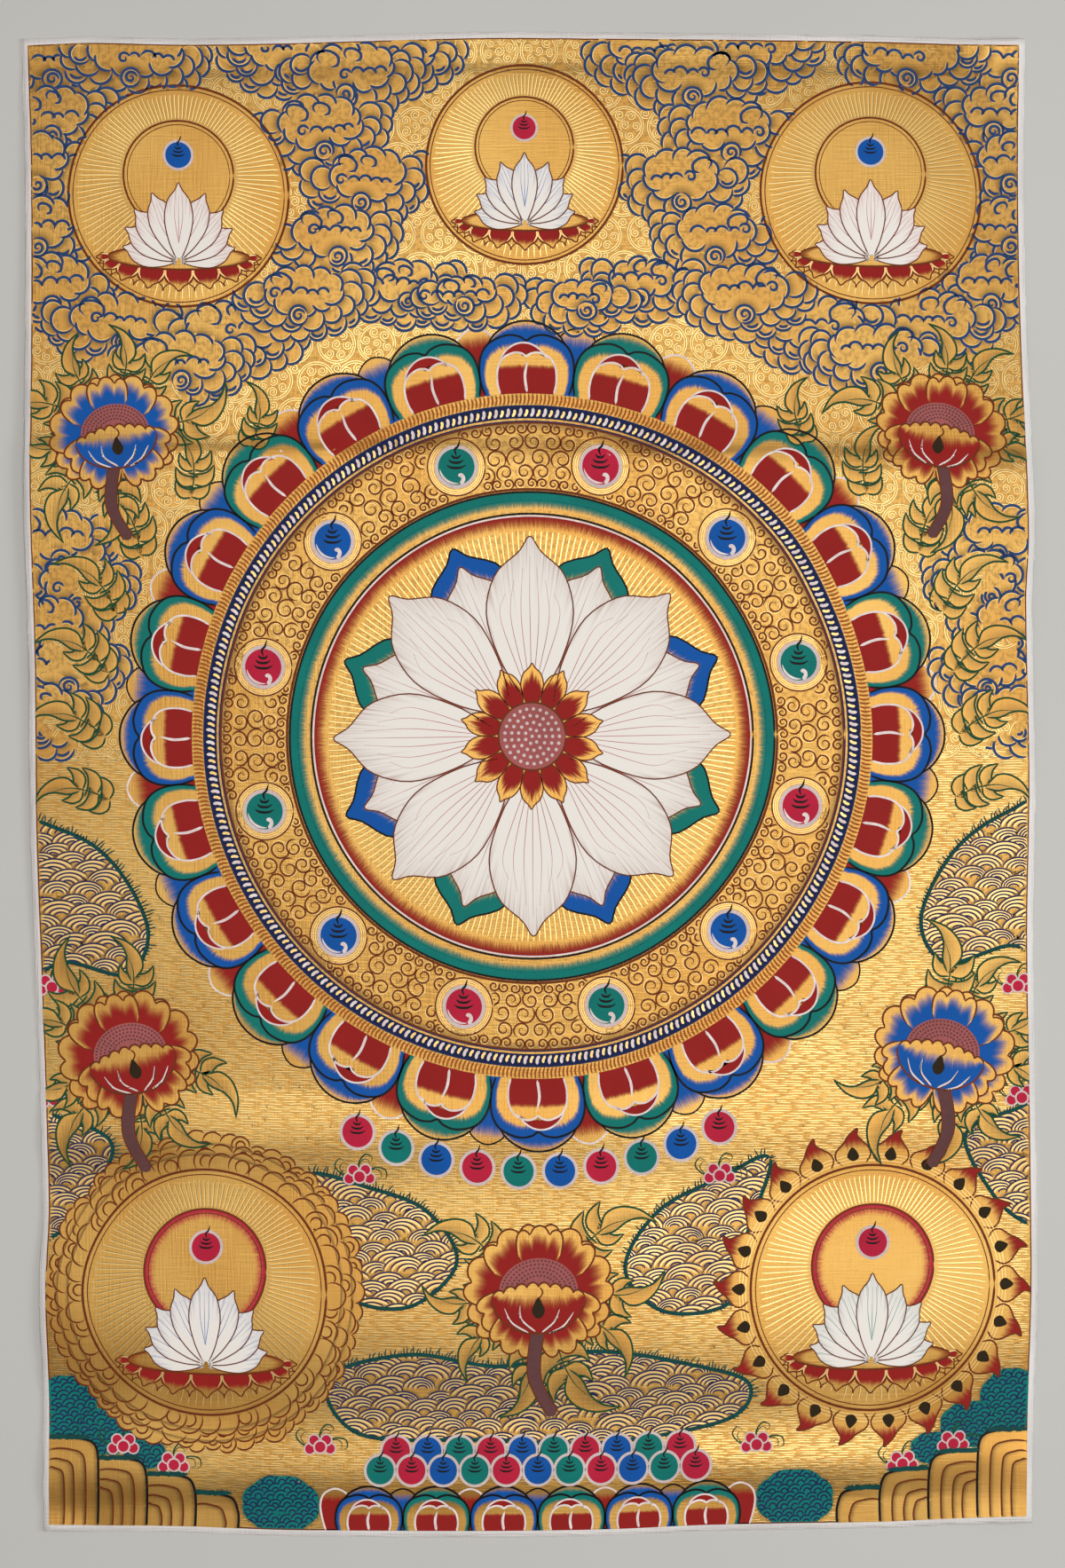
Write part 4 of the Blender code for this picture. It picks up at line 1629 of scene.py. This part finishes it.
def paint_medallion(name, x, y, radius, shade, jewel):
    """A disc of rays with a bloom on a seat of red petals, under a jewel."""
    spot = np.array([x, y])
    halo = spot + (0, radius * 0.18)
    layers = Layers(f"medallion_{name}")
    brown = layers("brown_lines", "line brown", "middle")
    brown.ring(spot, radius, 1.2)
    brown.ring(spot, radius * 0.96, 0.5)
    if y < 0:
        (flame_ring if x > 0 else scallop_ring)(layers, spot, radius)
        layers("halo_ring", "soft crimson", "low").band(halo, radius * 0.4, radius * 0.5, 81, cells=2)
    layers("disc", "plain", "disc").disc(spot, radius, 120, rings=16)
    lines = []
    for angle in np.arange(DISC_RAYS) * math.tau / DISC_RAYS:
        path = halo + np.linspace(0.5, 1.5, 30)[:, None] * radius * [math.cos(angle), math.sin(angle)]
        lines.append((path, away(path, spot) < radius * 0.945))
    layers("rays", "burnish", "burnish").cut_strokes(*zip(*lines), 0.8, count=9, start=0.01, end=0.01)
    brown.ring(halo, radius * 0.5, 0.95, 81)
    brown.ring(halo, radius * 0.465, 0.4, 81)
    paint_seat(layers, brown, spot - (0, radius * 0.56), radius * 0.75, radius * 0.25)

    root, wide = spot - (0, radius * 0.56 + 1), 15 * radius / 58
    vein_ink = f"line {'rose' if shade == 'crimson' else shade}"
    for k, lean in enumerate(BLOOM_LEANS):
        tall, lift = radius * (0.66 - abs(lean) * 0.0022), 0.04 * k
        outline = shape(POINTED, wide, tall, 33)
        bend = around_line(root, 90 + lean, 1)
        fill_petal(layers("bloom", f"flush {shade}", "over"), outline, bend, cells=7, lift=lift)
        layers("bloom_lines", "line brown", "over").stroke(bend(outline), 0.6, **EVEN, lift=0.02 + lift)
        for side in (-0.14, 0, 0.14):
            vein = curve([(0, tall * 0.2), (side * wide, tall * 0.55),
                          (side * wide / 15 * 13, tall * 0.86)], 7)
            layers("bloom_veins", vein_ink, "over").stroke(
                bend(vein), 0.28, start=0.1, end=0.6, lift=0.02 + lift)
    paint_jewel(layers, halo + (0, radius * 0.19), radius * 0.13, jewel, curled=False)
    layers.lay()


def paint_seat(layers, brown, seat, wide, tall):
    """A seat: an oval cushion over a row of hanging petals."""
    def hanging(turn, half):
        """Maps a petal, -1 to 1 across and 0 to 1 outwards, onto the seat."""
        def bend(path):
            across, out = np.moveaxis(np.asarray(path, float), -1, 0)
            angles = np.radians(turn + across * half)
            return np.stack([seat[0] + wide * (0.86 + 0.14 * out) * np.cos(angles),
                             seat[1] + tall * (0.42 + 0.78 * out) * np.sin(angles)], -1)
        return bend

    inner, outer = (hanging(270, 100)(np.column_stack([np.linspace(-1, 1, 61), np.full(61, out)]))
                    for out in (0, 0.72))
    layers("seat_back", "plain", "low").between(inner, outer, cells=3, lift=0.03)
    half = 100 / SEAT_PETALS
    fall = shape(SEAT_FALL, 1, 1, 33)
    tip = curve([(-1.34, 0.66), (-1.06, 0.84), (-1, 1.02), (-0.94, 0.84), (-0.66, 0.66)], 13)
    for k in range(SEAT_PETALS):
        bend = hanging(170 + (2 * k + 1) * half, half)
        layers("seat", "brim brick", "shade").upright(fall, bend, cells=4)
        brown.stroke(bend(fall), 0.7, **EVEN)
        for side in (-1, 1):
            fold = curve([(side * 0.96, 0.04), (side * 0.92, 0.3), (side * 0.62, 0.6)], 9)
            layers("seat_folds", "lit", "middle").stroke(bend(fold), 0.8, start=0.05, end=0.5, lift=0.02)
        if k:
            brown.stroke(bend(tip), 0.6, **SOFT)
    cushion = circle((0, 0), 1, 81) * (wide * 0.86, tall * 0.42) + seat
    layers("cushion", "plain", "shade").star(cushion[:-1], seat, rings=5, lift=0.02)
    layers("cushion_rim", "soft orange", "fill").between((cushion - seat) * 0.84 + seat, cushion, cells=2)
    brown.stroke(cushion, 0.8, **CLOSED)


# ---- flowers and leaves

# A leaf 1 long, along x: its vein, and the two edges of its drooping blade from root to tip.
LEAF_VEIN = ((0, 0), (0.26, 0.075), (0.55, 0.085), (0.8, -0.01))
BLADE_OUTER = ((0.44, 0.1), (0.58, 0.21), (0.76, 0.18), (0.92, 0.02), (1, -0.22))
BLADE_INNER = ((0.4, 0.06), (0.55, 0), (0.74, 0), (0.89, -0.07), (1, -0.22))
# A leaflet 1 long, along y: its hollow front edge and its full rear edge, from root to tip.
LEAFLET_FRONT = ((0.44, -0.04), (0.25, 0.22), (0.15, 0.5), (0.14, 0.78), (0.28, 1.1))
LEAFLET_REAR = ((-0.08, -0.04), (-0.32, 0.24), (-0.34, 0.54), (-0.16, 0.84), (0.28, 1.1))
# Columns: place along the vein, length, lean towards the tip in degrees, side (1 is left of the vein).
LEAFLETS = (
    (0.04, 0.3, 18, 1), (0.02, 0.27, 38, -1), (0.21, 0.34, 20, 1), (0.19, 0.3, 36, -1),
    (0.39, 0.31, 26, 1), (0.38, 0.27, 40, -1),
)


def paint_leaf(layers, spot, degrees, size, side, level, lift):
    """One leaf: pointed leaflets and a blade of gold with green edges."""
    def put(points):
        return turned(np.asarray(points) * (1, side), degrees, spot, size)
    fill, ink = layers("leaflets", "veined", level), layers("leaf_lines", "line leaf", level)
    vein = curve(LEAF_VEIN, 81)
    parts = [[turned(curve(edge, 13) * (1, way), -lean * way, vein[int(at * 100)], long)
              for edge in (LEAFLET_FRONT, LEAFLET_REAR)] for at, long, lean, way in LEAFLETS]
    parts.append([curve(edge, 17) for edge in (BLADE_INNER, BLADE_OUTER)])
    for k, (front, rear) in enumerate(parts):
        rise = lift + 0.03 * (k // 2)
        fill.between(put(front), put(rear), cells=3, lift=rise)
        ink.strokes([put(front), put(rear)], 1, start=0.08, end=0.12, lift=rise + 0.014)
    ink.stroke(put(vein[6:-6]), 0.7, start=0.1, end=0.5, lift=lift + 0.104)


def scalloped(spread, reach, scallops, depth, count=41):
    """The outer edge of a broad petal: x to the right of its root, y outwards."""
    share = np.linspace(-1, 1, count)
    angles = np.radians(np.linspace(-spread, spread, count))
    radii = reach * (1 - depth + depth * np.abs(np.sin((share + 1) * scallops * math.pi / 2)) ** 0.5)
    radii *= 1 - 0.22 * np.abs(share) ** 4
    return np.column_stack([radii * np.sin(angles), radii * np.cos(angles)])


# Petals of a full flower behind and before its seed head, from the back. Columns: direction, half
# spread in degrees, reach in sizes of the flower.
BACK_PETALS = (
    (192, 30, 1.02), (-12, 30, 1.02), (154, 34, 1.1), (26, 34, 1.1), (118, 32, 1.08),
    (62, 32, 1.08), (90, 26, 1.02),
)
FRONT_PETALS = ((214, 30, 0.94), (-34, 30, 0.94), (242, 27, 1), (-62, 27, 1))
PETAL_STEP = 0.045        # mm that each petal lies over the one before it


def paint_flower(name, x, y, size, shade, tilt):
    """Scalloped petals round a seed head, with a stem and leaves."""
    rng = np.random.default_rng(int(abs(x) + abs(y) * 3))
    spot = np.array([x, y])
    layers = Layers(f"flower_{name}")
    taken = [(*WHEEL, WHEEL_RADIUS + 18)] + [(a, b, reach + 3) for _, a, b, reach, _, _ in MEDALLIONS]
    for k, degrees in enumerate(np.arange(10) * 36 + rng.uniform(0, 20)):
        way = polar((0, 0), 1, degrees)
        reach = size * rng.uniform(1, 1.4)
        if clear_of([spot + way * (size * 0.62 + reach * 0.9)], taken)[0]:
            paint_leaf(layers, spot + size * 0.62 * way, degrees + rng.uniform(-12, 12), reach,
                       1 if k % 2 else -1, "tip", 0.12 * (k % 3))

    def petal(order, up, degrees, spread, reach):
        """One petal with its outline, in front of those before it."""
        bend = around_line(spot + (0, up * size), degrees + tilt, 0)
        edge, lift = scalloped(spread, size * reach, 3, 0.15), PETAL_STEP * order
        layers("bloom_petals", f"bloom {shade}", "top").between(
            bend(edge * 0.06), bend(edge), cells=8, lift=lift)
        ink = layers("petal_lines", "line brown", "top")
        ink.stroke(bend(edge), 0.9, **EVEN, lift=lift + 0.022)
        sides = [bend(np.linspace(0.35, 1, 9)[:, None] * edge[end]) for end in (0, -1)]
        ink.strokes(sides, 0.75, lift=lift + 0.022)
        return ink

    for order, row in enumerate(BACK_PETALS):
        petal(order, -0.12, *row)
    base, lift = spot + (0, -size * 0.02), PETAL_STEP * len(BACK_PETALS)
    head = turned(arc((0, 0), size * 0.56, 0, 180, 41) * (1, 0.84), tilt, base)
    layers("seed_head", "pigment rose", "top").star(head, spot + (0, size * 0.1), lift=lift)
    dots = layers("seeds", "pigment mauve", "top")
    for row in range(5):
        reach = 0.52 - row * 0.062
        for degrees in np.arange(8 + 3 * (row % 2), 175, 6 + row * 1.2):
            at = turned(polar((0, 0), size * reach, degrees) * (1, 0.84), tilt, base)
            dots.disc(at, 0.6, 6, lift=lift + 0.02)
    for degrees in range(84, 97):
        x_at = (degrees - 90) * size * 0.075
        dots.stroke([spot + (x_at, size * 0.05), spot + (x_at * 1.05, size * 0.2)], 0.3, lift=lift + 0.02)
    for order, row in enumerate(FRONT_PETALS):
        ink = petal(len(BACK_PETALS) + 1 + order, 0.02, *row)
    sway = -1 if x > 0 else 1
    stem = curve([(0, -0.5), (-sway * 0.06, -1.2), (sway * 0.22, -1.75)], 16) * size + spot
    layers("stem", "pigment mauve", "top").stroke(
        stem, size * 0.19, start=0.01, end=0.01, least=1.6, lift=PETAL_STEP * 12)
    ink.strokes([stem + (size * 0.095, 0), stem - (size * 0.095, 0)], 0.6, **EVEN,
                lift=PETAL_STEP * 12 + 0.022)
    paint_cup(layers, spot, size, shade, tilt, PETAL_STEP * 14)
    layers.lay()


CUP_RIBS = (
    ((-0.26, -0.2), (-0.24, -0.4), (-0.04, -0.57)), ((0.3, -0.26), (0.23, -0.43), (0.05, -0.58)),
    ((-0.48, -0.24), (-0.38, -0.44), (-0.14, -0.585)), ((0.5, -0.3), (0.36, -0.49), (0.15, -0.595)),
)
DROP = ((0, 1.2), (-0.55, 0.45), (-0.8, -0.3), (-0.3, -0.95), (0.4, -0.9), (0.8, -0.2), (0.5, 0.5))


def paint_cup(layers, spot, size, shade, tilt, lift):
    """The cup of a flower: scalloped brim, coloured bowl, pale ribs and a hollow."""
    def put(points):
        return turned(np.asarray(points) * size, tilt, spot)
    x = np.linspace(-1, 1, 73)
    waves = np.abs(np.sin((x + 1) * 4 * math.pi)) ** 0.6
    brim = np.column_stack([x * 0.66, 0.05 - 0.15 * x ** 2 + 0.065 * waves])
    bowl = arc((0, -0.1), 1, 180, 360, 73) * (0.66, 0.5) + (0, -0.05)
    layers("cup", f"brim {shade}", "top").between(put(bowl), put(brim), cells=10, lift=lift)
    lines = layers("petal_lines", "line brown", "top")
    seam = curve([(0.02, 0.05), (0.06, -0.03), (0, -0.12)], 9)
    for path, wide in ((brim, 0.9), (bowl, 0.9), (seam, 0.8)):
        lines.stroke(put(path), wide, start=0.03, end=0.03, lift=lift + 0.022)
    for points in CUP_RIBS:
        rib, ends = curve(points, 13), {"start": 0.3, "end": 0.1, "lift": lift + 0.022}
        layers("petal_ribs", "line rim", "top").stroke(put(rib), 0.9, **ends)
        lines.stroke(put(rib - (0, 0.022)), 0.5, **ends)
    at = np.array([0, -0.25])
    drop = closed_curve(DROP, 24) * (0.115, 0.135) + at
    layers("hollows", "pigment umber", "top").star(put(drop), put([at])[0], 2, lift + 0.07)


def paint_sprays():
    """Leaf sprays round the wheel."""
    layers = Layers("spray")
    for k, (x, y, degrees, size, side) in enumerate(SPRAYS):
        paint_leaf(layers, (x, y), degrees, size, side, "middle", 0.12 * (k % 2))
        paint_leaf(layers, (-x, y), 180 - degrees, size, -side, "middle", 0.12 * (k % 2))
    layers.lay()


def paint_jewels():
    """A string of jewels under the wheel, and petals and jewels along the foot."""
    shades = ("crimson", "teal", "blue")
    layers = Layers("jewel_string")
    for k, degrees in enumerate(np.linspace(245, 295, 10)):
        paint_jewel(layers, polar(WHEEL, WHEEL_RADIUS + 10.5, degrees), 8.6, shades[k % 3], curled=False)
    layers.lay()
    layers = Layers("frieze")
    wide = 2 * FRIEZE_WIDTH / FRIEZE_PETALS

    def upwards(k):
        return around_line((-FRIEZE_WIDTH + k * wide, FOOT), 90, 0)

    for k in range(FRIEZE_PETALS + 1):
        seat_leaf(layers, upwards(k), wide * 0.46, 21.5, "blue" if k % 2 else "brick")
    for k in range(FRIEZE_PETALS):
        seat_petal(layers, upwards(k + 0.5), wide * 0.985, 23, "teal" if k % 2 else "blue")
    for row, (count, rise) in enumerate(((10, 16.5), (11, 6.8))):
        for k in range(count):
            paint_jewel(layers, ((k - (count - 1) / 2) * 16.2, FRIEZE_TOP + rise), 7.8,
                        shades[(k * 2 + row) % 3], curled=False, lift=0.2 * row)
    layers.lay()


# ---- stage

FLOOR_DARK, FLOOR_PALE = (0.6, 0.59, 0.585), (0.65, 0.64, 0.635)
ROOM_TINT, ROOM_STRENGTH = (0.94, 0.86, 0.78, 1), 0.4
# Columns: name, place, size across and along in m, power in watts, colour.
LAMPS = (
    ("window", (0.14, 0.07, 2.6), (1.6, 0.25), 26, (0.95, 1, 0.98)),
    ("room", (1.75, -0.05, 1.4), (1, 1), 11.5, (0.92, 1, 0.97)),
)
# The photograph is 1200 x 1767 pixels at 0.45 mm, and its middle lies beside the cloth's.
VIEW_HEIGHT, VIEW_MIDDLE = 1767 * 0.45 * MM, (1.6 * MM, 0.2 * MM)
CAMERA_HEIGHT, SENSOR = 2.4, 36               # m, mm


def set_stage():
    """Pale floor, soft light, and a camera looking straight down."""
    floor = Finish("pale floor", Roughness=0.85)
    cloud = floor.noise((3, 3), detail=3)
    floor.connect(Base_Color=floor.blend(cloud, FLOOR_DARK, FLOOR_PALE))
    bpy.ops.mesh.primitive_plane_add(size=6, location=(0, 0, 0))
    plane = bpy.context.object
    plane.name = "floor"
    plane.data.materials.append(floor.material)

    world = bpy.data.worlds.new("soft room")
    bpy.context.scene.world = world
    world.use_nodes = True
    room = world.node_tree.nodes["Background"].inputs
    room["Color"].default_value, room["Strength"].default_value = ROOM_TINT, ROOM_STRENGTH
    for name, place, size, power, tint in LAMPS:
        lamp = bpy.data.lights.new(name, "AREA")
        lamp.shape, lamp.size, lamp.size_y = "RECTANGLE", *size
        lamp.energy, lamp.color = power, tint
        light = bpy.data.objects.new(name, lamp)
        light.location = place
        light.rotation_euler = (-Vector(place)).to_track_quat("-Z", "Y").to_euler()
        bpy.context.collection.objects.link(light)

    lens = bpy.data.cameras.new("camera")
    camera = bpy.data.objects.new("camera", lens)
    bpy.context.collection.objects.link(camera)
    lens.sensor_fit, lens.sensor_height = "VERTICAL", SENSOR
    lens.lens = SENSOR * CAMERA_HEIGHT / VIEW_HEIGHT
    camera.location = (*VIEW_MIDDLE, CAMERA_HEIGHT)
    bpy.context.scene.camera = camera
    bpy.context.scene.view_settings.view_transform = "Standard"


# ---- operators, panel and run

class CANVAS_OT_cotton(bpy.types.Operator):
    """Lay the sheet of primed cotton and its frayed edge"""
    bl_idname = "painted_canvas.cotton"
    bl_label = "Primed cotton"

    def execute(self, context):
        FILMS.clear()
        CLOTH.piece = lay_cotton()
        fray_edges()
        return {"FINISHED"}


class CANVAS_OT_ground(bpy.types.Operator):
    """Paint the gold ground and burnish its rings and dashes"""
    bl_idname = "painted_canvas.ground"
    bl_label = "Gold ground"

    def execute(self, context):
        paint_ground()
        burnish_ground()
        return {"FINISHED"}


class CANVAS_OT_clouds(bpy.types.Operator):
    """Paint the clouds and burnish the sky between them"""
    bl_idname = "painted_canvas.clouds"
    bl_label = "Clouds"

    def execute(self, context):
        burnish_sky(paint_clouds())
        return {"FINISHED"}


class CANVAS_OT_water(bpy.types.Operator):
    """Paint the pools, rocks, bushes and blossom"""
    bl_idname = "painted_canvas.water"
    bl_label = "Water and rocks"

    def execute(self, context):
        for (name, _), outline in zip(POOLS, pool_outlines()):
            paint_pool(name, outline)
        paint_rocks()
        for side, word in ((1, "left"), (-1, "right")):
            for k, (x, y, wide, tall) in enumerate(BUSHES):
                paint_bush(f"{word}_{k + 1}", x * side, y, wide, tall, 0.02 + 0.06 * k)
        paint_blossoms()
        return {"FINISHED"}


class CANVAS_OT_wheel(bpy.types.Operator):
    """Paint the lotus wheel in the middle"""
    bl_idname = "painted_canvas.wheel"
    bl_label = "Lotus wheel"

    def execute(self, context):
        paint_wheel()
        return {"FINISHED"}


class CANVAS_OT_medallions(bpy.types.Operator):
    """Paint the medallions with their blooms"""
    bl_idname = "painted_canvas.medallions"
    bl_label = "Medallions"

    def execute(self, context):
        for row in MEDALLIONS:
            paint_medallion(*row)
        return {"FINISHED"}


class CANVAS_OT_flowers(bpy.types.Operator):
    """Paint the flowers, the leaf sprays and the string of jewels"""
    bl_idname = "painted_canvas.flowers"
    bl_label = "Flowers, leaves and jewels"

    def execute(self, context):
        paint_sprays()
        for row in FLOWERS:
            paint_flower(*row)
        paint_jewels()
        return {"FINISHED"}


class CANVAS_OT_stage(bpy.types.Operator):
    """Set up the floor, the light and the camera"""
    bl_idname = "painted_canvas.stage"
    bl_label = "Stage"

    def execute(self, context):
        set_stage()
        return {"FINISHED"}


OPERATORS = (CANVAS_OT_cotton, CANVAS_OT_ground, CANVAS_OT_clouds, CANVAS_OT_water, CANVAS_OT_wheel,
             CANVAS_OT_medallions, CANVAS_OT_flowers, CANVAS_OT_stage)


class CANVAS_PT_panel(bpy.types.Panel):
    """Buttons that paint the canvas, in order"""
    bl_idname = "CANVAS_PT_panel"
    bl_label = "Painted Canvas"
    bl_space_type = "VIEW_3D"
    bl_region_type = "UI"
    bl_category = "Painted Canvas"

    def draw(self, context):
        for operator in OPERATORS:
            self.layout.operator(operator.bl_idname)
        for group in (settings().cloth, settings().gold, settings().paint):
            box = self.layout.box()
            for name in group.__annotations__:
                box.prop(group, name)


CLASSES = (ClothSettings, GoldSettings, PaintSettings, CanvasSettings, *OPERATORS, CANVAS_PT_panel)


def register():
    for each in CLASSES:
        bpy.utils.register_class(each)
    bpy.types.Scene.painted_canvas = PointerProperty(type=CanvasSettings)


def unregister():
    del bpy.types.Scene.painted_canvas
    for each in reversed(CLASSES):
        bpy.utils.unregister_class(each)


def main():
    register()
    for operator in OPERATORS:
        group, name = operator.bl_idname.split(".")
        getattr(getattr(bpy.ops, group), name)()


if __name__ == "__main__":
    main()
